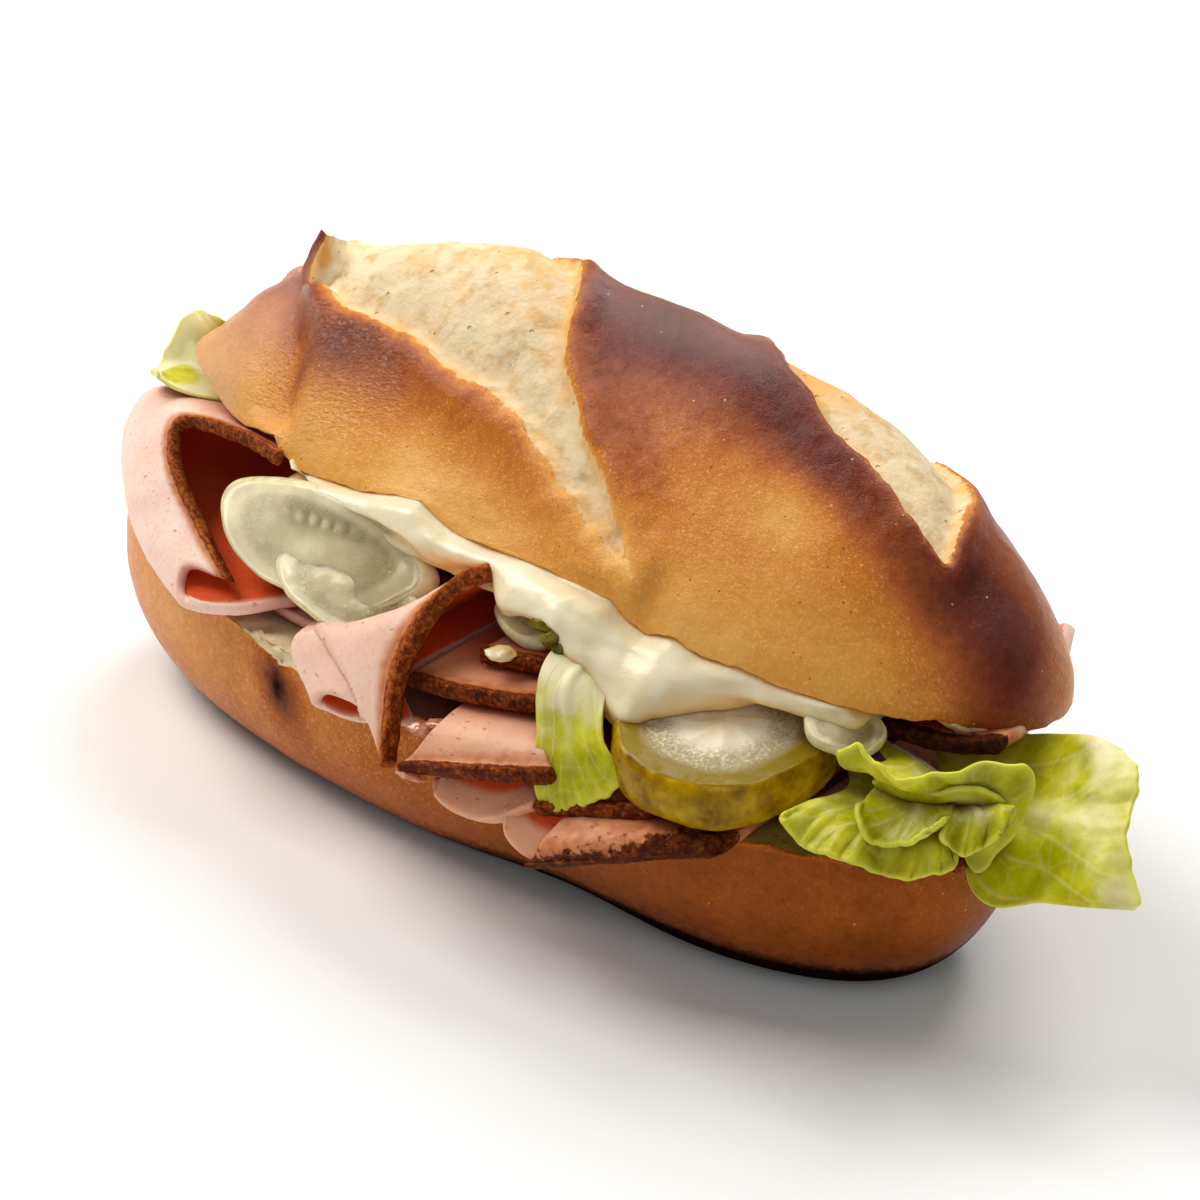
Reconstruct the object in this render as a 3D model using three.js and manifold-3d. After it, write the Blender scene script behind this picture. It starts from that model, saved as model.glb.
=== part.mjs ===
// A split lye roll filled with folded meat loaf slices, gherkin, sauce and lettuce.
// Millimetres, +Z up, +X along the roll towards its right end, -Y is the open front.
import * as THREE from 'three';
import { mergeVertices } from 'three/addons/utils/BufferGeometryUtils.js';
import Module from 'manifold-3d';

const wasm = await Module();
wasm.setup();

// Driving dimensions
const ROLL_LENGTH = 180;
const ROLL_WIDTH = 65;
const BOTTOM_HEIGHT = 30;
const TOP_HEIGHT = 40.5;
const MEAT_THICKNESS = 2.2;
const LEAF_THICKNESS = 1.2;
const SAUCE_THICKNESS = 4;
const TOUCH_GAP = 0.3;
const EDGE_GROWTH = 1.3;
const MESH_TOLERANCE = 0.06;
const WELD_DISTANCE = 1e-3;

// Plan of each half: a superellipse, blunter than an ellipse at its ends
const BOTTOM_PLAN = { length: ROLL_LENGTH / 2, width: ROLL_WIDTH / 2, power: 2.4 };
const TOP_PLAN = { length: ROLL_LENGTH / 2 - 1.5, width: ROLL_WIDTH / 2, power: 2.35 };
const BOTTOM_CENTRE_Y = -4.8;
const BOTTOM_COLUMNS = 68;
const TOP_COLUMNS = 74;
const TOP_RINGS = 14;

// Where the upper half lies: it has slid back and gapes towards the front
const TOP_PLACE = new THREE.Vector3(2.9, 7.9, 47.3);
const TOP_TILT = THREE.MathUtils.degToRad(-12);
const TOP_PITCH = THREE.MathUtils.degToRad(1.3);
const TOP_TURN = new THREE.Euler(TOP_TILT, TOP_PITCH, 0, 'ZXY');
const TOP_DOME = { front: 1.32, back: 1.65, along: 1.76 };

// Side of the lower half: height above the base and size of the plan there
const BOTTOM_SIDE = [
  [0, 0.66],
  [1.8, 0.76],
  [6, 0.875],
  [12, 0.96],
  [19, 1],
  [26, 0.998],
  [BOTTOM_HEIGHT, 0.985],
];
const END_DRAW_IN = 1.3;

// The front of the lower half is pinched in right of its middle, most at the base
const WAIST = { x: 24, spread: 20, depth: 4, shareAtCut: 0.25 };

// Scores baked open across the top: front tip, heading of the cut, length and half width
const SCORES = [
  { tip: [28, -30], heading: 157, length: 118, half: 15, peak: 0.62, depth: 2.2, swell: 4, lip: 1.6 },
  { tip: [69, -8], heading: 148, length: 86, half: 11, peak: 0.42, depth: 2.2, swell: 1.5, lip: 1.2 },
  { tip: [-66, -3], heading: 128, length: 34, half: 7, peak: 0.6, depth: 2, swell: 0.5, lip: 0.6 },
];
const SCORE_EDGE = { inside: -1.8, outside: 1.2, power: 1.5 };
const LIP = { offset: 2, spread: 2.6, fullHalf: 4 };
const CREASE = { from: [-68, -8], to: [-51, -27], half: 3, depth: 2.6 };
const EAR = { at: [-64.5, -4], spread: 4.5, height: 6.5 };
const HALVINGS = 30;
const END_SHARE = 0.98;
const RELIEF = { startLevel: 0.12, upward: 0.25 };

const FINISH = {
  crustBottom: { color: 0xb0692f, roughness: 0.45 },
  crustTop: { color: 0xa35c2a, roughness: 0.45 },
  meat: { color: 0xe8b8a4, roughness: 0.5 },
  gherkinFlesh: { color: 0xb9b56a, roughness: 0.3 },
  gherkinSkin: { color: 0x98901f, roughness: 0.3 },
  sauce: { color: 0xf0e6c8, roughness: 0.25 },
  lettuce: { color: 0xb7c74a, roughness: 0.45 },
};

// Skin of a gherkin slice from face to face: share of its thickness and size there
const PICKLE_SKIN = [
  [-0.5, 0.9],
  [-0.32, 0.985],
  [0, 1],
  [0.32, 0.985],
  [0.5, 0.9],
];
const PICKLE_COLUMNS = 22;
const PICKLE_UNEVEN = { three: 0.03, five: 0.02 };

const MEAT_GRID = { across: 11, along: 5 };
const LEAF_GRID = { across: 14, along: 4 };
const RUFFLE = { direction: [0.35, -0.25, 1], fade: 1.5, twist: 2 };

// Small maths helpers
const clamp01 = (value) => Math.min(1, Math.max(0, value));
const smooth = (from, to, value) => {
  const k = clamp01((value - from) / (to - from));
  return k * k * (3 - 2 * k);
};
const bell = (distance, spread) => Math.exp(-((distance / spread) ** 2));
const signedPower = (value, power) => Math.sign(value) * Math.abs(value) ** power;

function planPoint(plan, angle) {
  const x = plan.length * signedPower(Math.cos(angle), 2 / plan.power);
  const y = plan.width * signedPower(Math.sin(angle), 2 / plan.power);
  return [x, y];
}

// A closed body from rings of points, lowest first, with a fan over each end
function ringSolid(rings) {
  const count = rings[0].length;
  const points = rings.flat();
  const faces = [];
  for (let r = 0; r < rings.length - 1; r += 1) {
    for (let i = 0; i < count; i += 1) {
      const a = r * count + i;
      const b = r * count + ((i + 1) % count);
      faces.push([a, b, b + count], [a, b + count, a + count]);
    }
  }
  const middle = (ring) => ring.reduce((sum, p) => sum.add(p), new THREE.Vector3()).divideScalar(count);
  const low = points.push(middle(rings[0])) - 1;
  const high = points.push(middle(rings[rings.length - 1])) - 1;
  const top = (rings.length - 1) * count;
  for (let i = 0; i < count; i += 1) {
    const next = (i + 1) % count;
    faces.push([low, next, i], [high, top + i, top + next]);
  }
  return { points, faces };
}

// A thin closed body: a surface of two parameters given a thickness to both sides
function sheetSolid(surface, { across, along, thickness }) {
  const step = 1e-3;
  const inner = [];
  const outer = [];
  for (let j = 0; j <= along; j += 1) {
    for (let i = 0; i <= across; i += 1) {
      const t = i / across;
      const s = j / along;
      const t0 = Math.min(t, 1 - step);
      const s0 = Math.min(s, 1 - step);
      const origin = surface(t0, s0);
      const alongT = surface(t0 + step, s0).sub(origin);
      const alongS = surface(t0, s0 + step).sub(origin);
      const normal = alongT.cross(alongS).normalize();
      const half = (typeof thickness === 'function' ? thickness(t, s) : thickness) / 2;
      const point = surface(t, s);
      outer.push(point.clone().addScaledVector(normal, half));
      inner.push(point.clone().addScaledVector(normal, -half));
    }
  }
  const row = across + 1;
  const offset = outer.length;
  const faces = [];
  for (let j = 0; j < along; j += 1) {
    for (let i = 0; i < across; i += 1) {
      const a = j * row + i;
      const c = a + row + 1;
      faces.push([a, a + 1, c], [a, c, c - 1]);
      faces.push([offset + a, offset + c, offset + a + 1], [offset + a, offset + c - 1, offset + c]);
    }
  }
  const steps = (count) => Array.from({ length: count }, (_, k) => k);
  const rim = [
    ...steps(across),
    ...steps(along).map((j) => j * row + across),
    ...steps(across).map((i) => along * row + across - i),
    ...steps(along).map((j) => (along - j) * row),
  ];
  rim.forEach((a, k) => {
    const b = rim[(k + 1) % rim.length];
    faces.push([offset + a, offset + b, b], [offset + a, b, a]);
  });
  return { points: [...outer, ...inner], faces };
}

// A surface through rows of points: t runs along each row, s from the first row to the last
function loft(rows) {
  const toCurve = (points) => new THREE.CatmullRomCurve3(points, false, 'catmullrom', 0.5);
  const curves = rows.map((row) => toCurve(row.map((p) => new THREE.Vector3(...p))));
  return (t, s) => toCurve(curves.map((curve) => curve.getPoint(t))).getPoint(s);
}

// Height of the upper half's cut face over a point of the sandwich
function cutFaceHeight(x, y) {
  return TOP_PLACE.z + (y - TOP_PLACE.y) * Math.tan(TOP_TILT) - (x - TOP_PLACE.x) * Math.tan(TOP_PITCH);
}

// Half width of a plan at a place along it, not quite closing at its ends
function planEdge(plan, x) {
  const share = Math.min(END_SHARE, Math.abs(x / plan.length));
  return plan.width * (1 - share ** plan.power) ** (1 / plan.power);
}

// Front or back edge of the upper half at a place along the roll, for side -1 or 1
function topEdge(x, side) {
  return TOP_PLACE.y + side * planEdge(TOP_PLAN, x - TOP_PLACE.x) * Math.cos(TOP_TILT);
}

// Where a slice at some level ends behind: between the back edges of both halves, jutting a little
function backEdge(x, level, jut) {
  const low = BOTTOM_CENTRE_Y + planEdge(BOTTOM_PLAN, x);
  const high = topEdge(x, 1);
  const share = clamp01((level - BOTTOM_HEIGHT) / (cutFaceHeight(x, high) - BOTTOM_HEIGHT));
  return low + (high - low) * share + jut;
}

// A slice that shows its front rows and then runs level through the food to the back
function runThrough(frontRows, { level, jut, spread = 1 }) {
  const last = frontRows[frontRows.length - 1];
  const middle = (last[0][0] + last[last.length - 1][0]) / 2;
  const place = (x) => middle + (x - middle) * spread;
  const back = last.map(([x]) => [place(x), backEdge(place(x), level, jut), level]);
  const inside = last.map(([x, y], i) => [place(x), (y + back[i][1]) / 2, level]);
  return [...frontRows, inside, back];
}

// The lower half of the roll
function bottomRing(height, size) {
  const ring = [];
  for (let i = 0; i < BOTTOM_COLUMNS; i += 1) {
    const [x, y] = planPoint(BOTTOM_PLAN, (i / BOTTOM_COLUMNS) * Math.PI * 2);
    const inset = (1 - size) * BOTTOM_PLAN.width * END_DRAW_IN;
    const px = x * (1 - inset / BOTTOM_PLAN.length);
    const fade = 1 - ((1 - WAIST.shareAtCut) * height) / BOTTOM_HEIGHT;
    const waist = WAIST.depth * bell(px - WAIST.x, WAIST.spread) * fade;
    const py = y * size + waist * clamp01(-y / BOTTOM_PLAN.width);
    ring.push(new THREE.Vector3(px, py + BOTTOM_CENTRE_Y, height));
  }
  return ring;
}

function bottomHalf() {
  return ringSolid(BOTTOM_SIDE.map(([height, size]) => bottomRing(height, size)));
}

// How far a plan point lies along a score and across it, from the score's front tip
function scorePlace(score, x, y) {
  const heading = THREE.MathUtils.degToRad(score.heading);
  const dx = x - score.tip[0];
  const dy = y - score.tip[1];
  const along = (dx * Math.cos(heading) + dy * Math.sin(heading)) / score.length;
  const across = dx * Math.sin(heading) - dy * Math.cos(heading);
  return { along, across };
}

// Half width of the opened crumb at a share of the score's length
function scoreHalf(score, along) {
  const inside = clamp01(along);
  const rise = inside < score.peak ? inside / score.peak : (1 - inside) / (1 - score.peak);
  return score.half * Math.sin((rise * Math.PI) / 2) ** SCORE_EDGE.power;
}

// Height of the crust relief over a plan point: sunk crumb, raised lips, the ear and the crease
function crustRelief(x, y) {
  let relief = 0;
  for (const score of SCORES) {
    const { along, across } = scorePlace(score, x, y);
    const half = scoreHalf(score, along);
    if (half > 0) {
      const edge = Math.abs(across) - half;
      relief -= score.depth * (1 - smooth(SCORE_EDGE.inside, SCORE_EDGE.outside, edge));
      relief += score.swell * clamp01(1 - (across / half) ** 2) * (half / score.half);
      relief += score.lip * bell(edge - LIP.offset, LIP.spread) * smooth(0, LIP.fullHalf, half);
    }
  }
  const [ax, ay] = CREASE.from;
  const [bx, by] = CREASE.to;
  const span = (bx - ax) ** 2 + (by - ay) ** 2;
  const k = clamp01(((x - ax) * (bx - ax) + (y - ay) * (by - ay)) / span);
  const distance = Math.hypot(x - ax - k * (bx - ax), y - ay - k * (by - ay));
  relief -= CREASE.depth * bell(distance, CREASE.half);
  relief += EAR.height * bell(Math.hypot(x - EAR.at[0], y - EAR.at[1]), EAR.spread);
  return relief;
}

// Level of the dome over a plan point, 0 at the cut edge and 1 at the crown, found by halving
function domeLevel(x, y) {
  const power = y < 0 ? TOP_DOME.front : TOP_DOME.back;
  let low = 0;
  let high = 1;
  for (let turn = 0; turn < HALVINGS; turn += 1) {
    const level = (low + high) / 2;
    const width = TOP_PLAN.width * (1 - level ** power) ** (1 / power);
    const length = TOP_PLAN.length * (1 - level ** TOP_DOME.along) ** (1 / TOP_DOME.along);
    const reach = Math.abs(x / length) ** TOP_PLAN.power + Math.abs(y / width) ** TOP_PLAN.power;
    if (reach < 1) {
      low = level;
    } else {
      high = level;
    }
  }
  return low;
}

// The upper half of the roll, in its own frame with the cut face at z = 0
function topRing(size) {
  const ring = [];
  for (let i = 0; i < TOP_COLUMNS; i += 1) {
    const [px, py] = planPoint(TOP_PLAN, (i / TOP_COLUMNS) * Math.PI * 2);
    const level = size === 1 ? 0 : domeLevel(px * size, py * size);
    const point = new THREE.Vector3(px * size, py * size, level * TOP_HEIGHT);
    const normal = new THREE.Vector3(
      point.x / TOP_PLAN.length ** 2,
      point.y / TOP_PLAN.width ** 2,
      point.z / TOP_HEIGHT ** 2 + RELIEF.upward / TOP_HEIGHT,
    ).normalize();
    const relief = crustRelief(point.x, point.y) * smooth(0, RELIEF.startLevel, level);
    ring.push(point.addScaledVector(normal, relief));
  }
  return ring;
}

function topHalf() {
  const rings = [];
  for (let k = 0; k < TOP_RINGS; k += 1) {
    rings.push(topRing(Math.cos(((k / TOP_RINGS) * Math.PI) / 2)));
  }
  return ringSolid(rings);
}

function placedTop(shape) {
  const points = shape.points.map((p) => p.clone().applyEuler(TOP_TURN).add(TOP_PLACE));
  return { points, faces: shape.faces };
}

// A gherkin slice: an oval disc with a bulging skin, bent a little over its length
function pickleSlice({ centre, axis, spin, long, short, thickness, bend }) {
  const turn = new THREE.Quaternion().setFromUnitVectors(
    new THREE.Vector3(0, 0, 1),
    new THREE.Vector3(...axis).normalize(),
  );
  const rings = PICKLE_SKIN.map(([level, size]) => {
    const ring = [];
    for (let i = 0; i < PICKLE_COLUMNS; i += 1) {
      const angle = (i / PICKLE_COLUMNS) * Math.PI * 2;
      const lobes = PICKLE_UNEVEN.three * Math.sin(3 * angle + spin);
      const uneven = 1 + lobes + PICKLE_UNEVEN.five * Math.sin(5 * angle);
      const x = long * size * uneven * Math.cos(angle);
      const y = short * size * uneven * Math.sin(angle);
      const z = level * thickness + bend * (x / long) ** 2;
      const point = new THREE.Vector3(x, y, z).applyAxisAngle(new THREE.Vector3(0, 0, 1), spin);
      ring.push(point.applyQuaternion(turn).add(new THREE.Vector3(...centre)));
    }
    return ring;
  });
  return ringSolid(rings);
}

// A leaf: a lofted surface that ruffles more and more towards its free edge
function leafSolid({ rows, waves, height, phase }) {
  const base = loft(rows);
  const ruffled = (t, s) => {
    const swing = Math.sin(Math.PI * 2 * waves * t + phase + RUFFLE.twist * s);
    const wave = height * (1 - s) ** RUFFLE.fade * swing;
    return base(t, s).addScaledVector(new THREE.Vector3(...RUFFLE.direction), wave);
  };
  return sheetSolid(ruffled, { ...LEAF_GRID, thickness: LEAF_THICKNESS });
}

function meatSolid(rows) {
  return sheetSolid(loft(rows), { ...MEAT_GRID, thickness: MEAT_THICKNESS });
}

// Slices of meat loaf. Rows run from the edge that shows at the front to the hidden or far edge.
const MEAT = {
  // Folded like a pocket round the left end: lower layer, fold, upper layer, rind edge
  meat_left_fold: [
    [[-28, -30, 36], [-42, -38, 34], [-54, -39, 33], [-55, -35, 37], [-43, -34, 39]],
    [[-34, -20, 34], [-56, -32, 33], [-67, -32, 33.5], [-68, -28, 40], [-56, -28, 44]],
    [[-44, -8, 34.5], [-70, -22, 34], [-81, -21, 36], [-79, -19, 44], [-68, -22, 49]],
    [[-50, 6, 34.5], [-78, -4, 34.5], [-91, -8, 39], [-88, -7, 46], [-71, -17, 52]],
    [[-46, 16, 34.5], [-70, 8, 36], [-80, 4, 41], [-76, -2, 47], [-56, -19, 53.5]],
    [[-42, 20, 35], [-58, 14, 38], [-68, 8, 42], [-60, 0, 47.5], [-41, -21, 54]],
  ],
  // Rolled into a cone with its rind edge standing up in front
  meat_cone: [
    [[1, -46, 25], [-4, -43, 32], [-12, -43, 33], [-16, -42, 29], [-9, -41, 28], [2, -39, 31]],
    [[0, -39, 39], [-8, -38, 40], [-17, -38, 37.5], [-23, -39, 34], [-19, -36, 32], [-6, -33, 32]],
    [[2, -33, 49], [-5, -33, 45], [-14, -34, 39], [-23, -35, 36.5], [-21, -31, 34], [-6, -28, 33.5]],
    [[7, -27, 55], [1, -24, 49], [-11, -22, 37.8], [-22, -22, 36.5], [-19, -18, 34.5], [-4, -14, 34.4]],
    [[8, -6, 45], [0, 4, 41], [-12, 8, 37.5], [-20, 13, 36.5], [-16, 20, 34.6], [-4, 26, 34.6]],
  ],
  meat_stack_low: runThrough([
    [[33, -46, 21], [43, -43, 25], [54, -39, 29], [61, -36, 32]],
    [[36, -41, 27.5], [45, -39, 30], [55, -35, 31.8], [62, -31, 31.8]],
  ], { level: 31.6, jut: 3.5 }),
  meat_stack_mid: runThrough([
    [[31, -42, 28.5], [42, -39, 31.5], [49, -37, 33.6]],
    [[30, -30, 34], [42, -27, 34.2], [54, -24, 34.2]],
  ], { level: 34.2, jut: 4.5, spread: 1.3 }),
  meat_flap: runThrough([
    [[5, -46, 26.5], [19, -45, 30], [33, -41, 33.5]],
    [[11, -38, 35.5], [20, -36, 37], [29, -34, 37.6]],
  ], { level: 36.8, jut: 0.5, spread: 1.4 }),
  // Lying over the flap with their rinds towards the front
  meat_strip: [
    [[0, -37, 37], [12, -37, 39.5], [25, -34, 41], [32, -29, 41]],
    [[3, -26, 39.4], [13, -26, 40.2], [24, -24, 40.6], [33, -20, 40.6]],
    [[4, 12, 39.4], [14, 14, 39.4], [24, 14, 39.4], [34, 12, 39.4]],
  ],
  meat_strip_top: [
    [[10, -31, 43.2], [20, -29, 44], [29, -25, 44]],
    [[11, -14, 43], [20, -12, 43], [29, -10, 43]],
    [[10, 6, 42.4], [20, 8, 42.4], [30, 6, 42.4]],
  ],
  // Curled under the flap
  meat_curl: [
    [[12, -43, 27], [12, -44.5, 24.5], [17, -44.5, 23.5], [24, -43.5, 24.5], [30, -41.5, 28.5]],
    [[14, -37, 32], [14, -36, 32], [18, -35, 32], [24, -34, 32.2], [29, -33, 32.2]],
    [[13, -20, 31.8], [16, -18, 31.8], [20, -16, 31.8], [24, -16, 31.8], [30, -16, 31.8]],
  ],
  meat_curl_low: [
    [[25, -43, 26], [27, -44.5, 23], [33, -44.5, 21.5], [38, -42.5, 23.5], [41, -40, 27]],
    [[26, -38, 29.5], [28, -37, 30.6], [32, -36.5, 30.8], [35, -36, 30.8], [38, -35, 30.8]],
  ],
  meat_left_low: runThrough([
    [[-70, -20, 31.6], [-50, -26, 31.6], [-26, -29, 31.4], [-6, -24, 31.4]],
  ], { level: 31.6, jut: 4 }),
  meat_left_inner: runThrough([
    [[-58, -16, 38.4], [-46, -21, 36.6], [-35, -19, 38.2], [-25.5, -15, 37.4]],
  ], { level: 37.2, jut: 2 }),
  meat_left_mid: runThrough([
    [[-48, -12, 42.4], [-34, -16, 43.4], [-20, -16, 42.4]],
  ], { level: 40.1, jut: 1, spread: 1.3 }),
  meat_right_low: runThrough([
    [[66, -19, 31.8], [80, -18, 32.4], [91.5, -15, 30.5]],
    [[66, -2, 31.8], [80, -2, 32.4], [91, -3, 32.6]],
  ], { level: 32.2, jut: 3 }),
  // Its far corner stands up behind the right end
  meat_right_high: [
    [[66, -10, 45.4], [80, -10, 46.2], [91, -6, 47.4]],
    [[64, 10, 42], [78, 10, 43], [89, 10, 46]],
    [[62, 34, 38], [72, 35, 41.5], [80, 29, 48]],
  ],
};

const PICKLES = {
  pickle_front: {
    finish: FINISH.gherkinSkin,
    centre: [51, -22.5, 40],
    axis: [0.08, -0.1, 1],
    spin: 0.2,
    long: 17.6,
    short: 17,
    thickness: 8.4,
    bend: 0,
  },
  // Two lobes of one long slice that stands on its edge
  pickle_left: {
    finish: FINISH.gherkinFlesh,
    centre: [-28, -27, 46.4],
    axis: [0, -0.85, 0.5],
    spin: 0,
    long: 23,
    short: 8.6,
    thickness: 4,
    bend: -1.5,
  },
  pickle_left_low: {
    finish: FINISH.gherkinFlesh,
    centre: [-19, -30.5, 42],
    axis: [0, -0.5, 0.85],
    spin: 0,
    long: 16,
    short: 6,
    thickness: 3.2,
    bend: 0.8,
  },
  pickle_mid: {
    finish: FINISH.gherkinFlesh,
    centre: [14, -20, 47.4],
    axis: [0.05, -0.2, 1],
    spin: 0,
    long: 9,
    short: 8,
    thickness: 3,
    bend: 0,
  },
  pickle_right: {
    finish: FINISH.gherkinFlesh,
    centre: [69.5, -15.5, 46.4],
    axis: [0.25, -0.45, 0.85],
    spin: 0.3,
    long: 6.4,
    short: 4.8,
    thickness: 2.4,
    bend: 0,
  },
  pickle_back: {
    finish: FINISH.gherkinFlesh,
    centre: [-2, 28, 38.6],
    axis: [0, 0.15, 1],
    spin: 0.1,
    long: 16,
    short: 14,
    thickness: 3.6,
    bend: 0,
  },
};

const LEAVES = {
  lettuce_mid: {
    rows: [
      [[30, -42, 28.5], [37, -41.5, 31], [43.5, -39, 36.5]],
      [[27.5, -39, 36], [33, -38, 38], [39, -36.5, 41.5]],
      [[24, -33.5, 45.5], [28, -33, 47], [32.5, -31.6, 47.5]],
      [[24, -22, 47], [29, -21, 47], [34, -20, 47]],
      [[22, 4, 45], [32, 6, 45], [42, 4, 45]],
    ],
    waves: 1.6,
    height: 1.6,
    phase: 0.5,
  },
  lettuce_outer: {
    rows: [
      [[103, 8, 47], [111, 0, 50], [115, -8, 44], [122, -14, 37]],
      [[98, 8, 45], [105, 0, 45], [109, -8, 40], [116, -14, 34]],
      [[91, 8, 42], [97, 0, 41], [101, -8, 36], [107, -14, 31]],
      [[82, 8, 39], [90, 0, 38.5], [94, -8, 35], [95.5, -15, 27]],
      [[70, 8, 38], [74, 2, 38], [78, -2, 37.5], [82, -6, 36.5]],
    ],
    waves: 1.5,
    height: 1.5,
    phase: 1,
  },
  lettuce_frill: {
    rows: [
      [[73, -27, 46], [81, -26, 46.5], [89, -21, 46], [96, -16, 46], [97, -14, 39], [95, -16.5, 32.5]],
      [[76, -22, 45.5], [83, -21, 45.5], [90, -17, 45], [93, -15, 43], [94, -14, 38.5], [92, -15, 33.5]],
      [[77, -14, 43], [82, -13, 43], [86, -12, 42], [88, -12, 41], [89, -12, 38.5], [88, -12, 36]],
      [[68, -8, 41], [72, -8, 41], [76, -8, 40.5], [79, -9, 40], [81, -10, 39], [82, -10, 37.5]],
    ],
    waves: 2.5,
    height: 1.6,
    phase: 0,
  },
  lettuce_frill_low: {
    rows: [
      [[69, -31, 37], [79, -30, 34.5], [88, -25, 32.5], [94, -19, 33]],
      [[71, -27, 39], [80, -25, 38.2], [87, -21, 37.6], [91, -17, 37]],
      [[72, -18, 37], [79, -17, 37], [84, -15, 36.5], [87, -14, 36]],
      [[66, -8, 35], [70, -8, 35], [74, -9, 35], [77, -10, 35]],
    ],
    waves: 3,
    height: 1.8,
    phase: 2,
  },
  lettuce_left: {
    rows: [
      [[-83, -13, 54], [-88, -6, 52], [-88, 2, 58], [-84, 8, 56]],
      [[-80, -11, 52], [-82, -4, 51], [-82, 3, 52], [-79, 10, 50]],
      [[-64, -4, 49.5], [-64, 2, 48.5], [-64, 8, 47.5], [-62, 14, 46.5]],
    ],
    waves: 1.5,
    height: 1.4,
    phase: 1.2,
  },
  lettuce_back: {
    rows: [
      [[60, 43, 37.5], [44, 45, 39.5], [26, 47, 38], [6, 46, 38.5]],
      [[60, 37, 38], [44, 39, 38.4], [26, 41, 38.4], [8, 39, 38.6]],
      [[58, 20, 38], [44, 20, 38.6], [28, 20, 38.6], [16, 22, 38.8]],
    ],
    waves: 3,
    height: 1.2,
    phase: 0.4,
  },
};

// Sauce spread under the upper half: its front edge droops in lobes over the filling
const SAUCE = {
  left: -40,
  right: 76,
  overhang: 2.5,
  droop: 0.8,
  hangEnd: 0.22,
  hangPower: 1.4,
  clearance: 0.6,
  backInset: 1,
  lobes: [
    { x: 42, spread: 18, droop: 5, overhang: 6.5 },
    { x: -20, spread: 14, droop: 1, overhang: 2 },
    { x: 14, spread: 9, droop: 1.5, overhang: 2.5 },
  ],
};
const SAUCE_GRID = { across: 18, along: 6 };

// Share of the full thickness: rounded at the front, full over the lobes, thin further in
const SAUCE_BODY = { front: 0.6, full: 1, inside: 0.5, frontEnd: 0.1, thinFrom: 0.2, thinTo: 0.45 };

function sauceThickness(t, s) {
  const rise = (SAUCE_BODY.full - SAUCE_BODY.front) * smooth(0, SAUCE_BODY.frontEnd, s);
  const fall = (SAUCE_BODY.full - SAUCE_BODY.inside) * smooth(SAUCE_BODY.thinFrom, SAUCE_BODY.thinTo, s);
  return SAUCE_THICKNESS * (SAUCE_BODY.front + rise - fall);
}

function sauceSurface(t, s) {
  const x = SAUCE.left + t * (SAUCE.right - SAUCE.left);
  let { droop, overhang } = SAUCE;
  for (const lobe of SAUCE.lobes) {
    droop += lobe.droop * bell(x - lobe.x, lobe.spread);
    overhang += lobe.overhang * bell(x - lobe.x, lobe.spread);
  }
  const front = topEdge(x, -1) - overhang;
  const back = topEdge(x, 1) - SAUCE.backInset;
  const y = front + (back - front) * s;
  const hang = droop * clamp01(1 - s / SAUCE.hangEnd) ** SAUCE.hangPower;
  const thin = (SAUCE_BODY.inside / 2) * smooth(SAUCE_BODY.thinFrom, SAUCE_BODY.thinTo, s);
  const sunk = SAUCE_THICKNESS * (SAUCE_BODY.full / 2 - thin);
  return new THREE.Vector3(x, y, cutFaceHeight(x, y) - sunk - SAUCE.clearance - hang);
}

function sauceSolid() {
  return sheetSolid(sauceSurface, { ...SAUCE_GRID, thickness: sauceThickness });
}

// Solids and cuts
function toManifold(shape) {
  const vertProperties = new Float32Array(shape.points.flatMap((p) => [p.x, p.y, p.z]));
  const triVerts = new Uint32Array(shape.faces.flat());
  return new wasm.Manifold(new wasm.Mesh({ numProp: 3, vertProperties, triVerts }));
}

// The same body with every point moved outward by the gap that touching pieces keep
function grown(shape) {
  const normals = shape.points.map(() => new THREE.Vector3());
  for (const [a, b, c] of shape.faces) {
    const ab = shape.points[b].clone().sub(shape.points[a]);
    const ac = shape.points[c].clone().sub(shape.points[a]);
    const normal = ab.cross(ac).normalize();
    for (const k of [a, b, c]) {
      normals[k].add(normal);
    }
  }
  const reach = TOUCH_GAP * EDGE_GROWTH;
  const points = shape.points.map((p, k) => p.clone().addScaledVector(normals[k].normalize(), reach));
  return { points, faces: shape.faces };
}

function fromManifold(solid) {
  const mesh = solid.getMesh();
  const points = [];
  for (let k = 0; k < mesh.vertProperties.length; k += mesh.numProp) {
    points.push(new THREE.Vector3(...mesh.vertProperties.subarray(k, k + 3)));
  }
  const faces = [];
  for (let k = 0; k < mesh.triVerts.length; k += 3) {
    faces.push([...mesh.triVerts.subarray(k, k + 3)]);
  }
  return { points, faces };
}

function toGeometry(shape) {
  const geometry = new THREE.BufferGeometry();
  const positions = shape.points.flatMap((p) => p.toArray());
  geometry.setAttribute('position', new THREE.Float32BufferAttribute(positions, 3));
  geometry.setIndex(shape.faces.flat());
  return geometry;
}

// The body as a solid again, with points that nearly meet made one
function welded(shape) {
  const geometry = mergeVertices(toGeometry(shape), WELD_DISTANCE);
  const vertProperties = new Float32Array(geometry.attributes.position.array);
  const triVerts = new Uint32Array(geometry.index.array);
  return new wasm.Manifold(new wasm.Mesh({ numProp: 3, vertProperties, triVerts }));
}

// A soft piece gives way to what it touches: the neighbours are cut from it and its largest body stays
function pressedOn(shape, neighbours) {
  const largest = (solid) => solid.decompose().sort((a, b) => b.volume() - a.volume())[0];
  let solid = toManifold(shape);
  for (const neighbour of neighbours) {
    solid = solid.subtract(neighbour);
  }
  const body = largest(solid.simplify(MESH_TOLERANCE));
  return fromManifold(largest(welded(fromManifold(body))));
}

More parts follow.
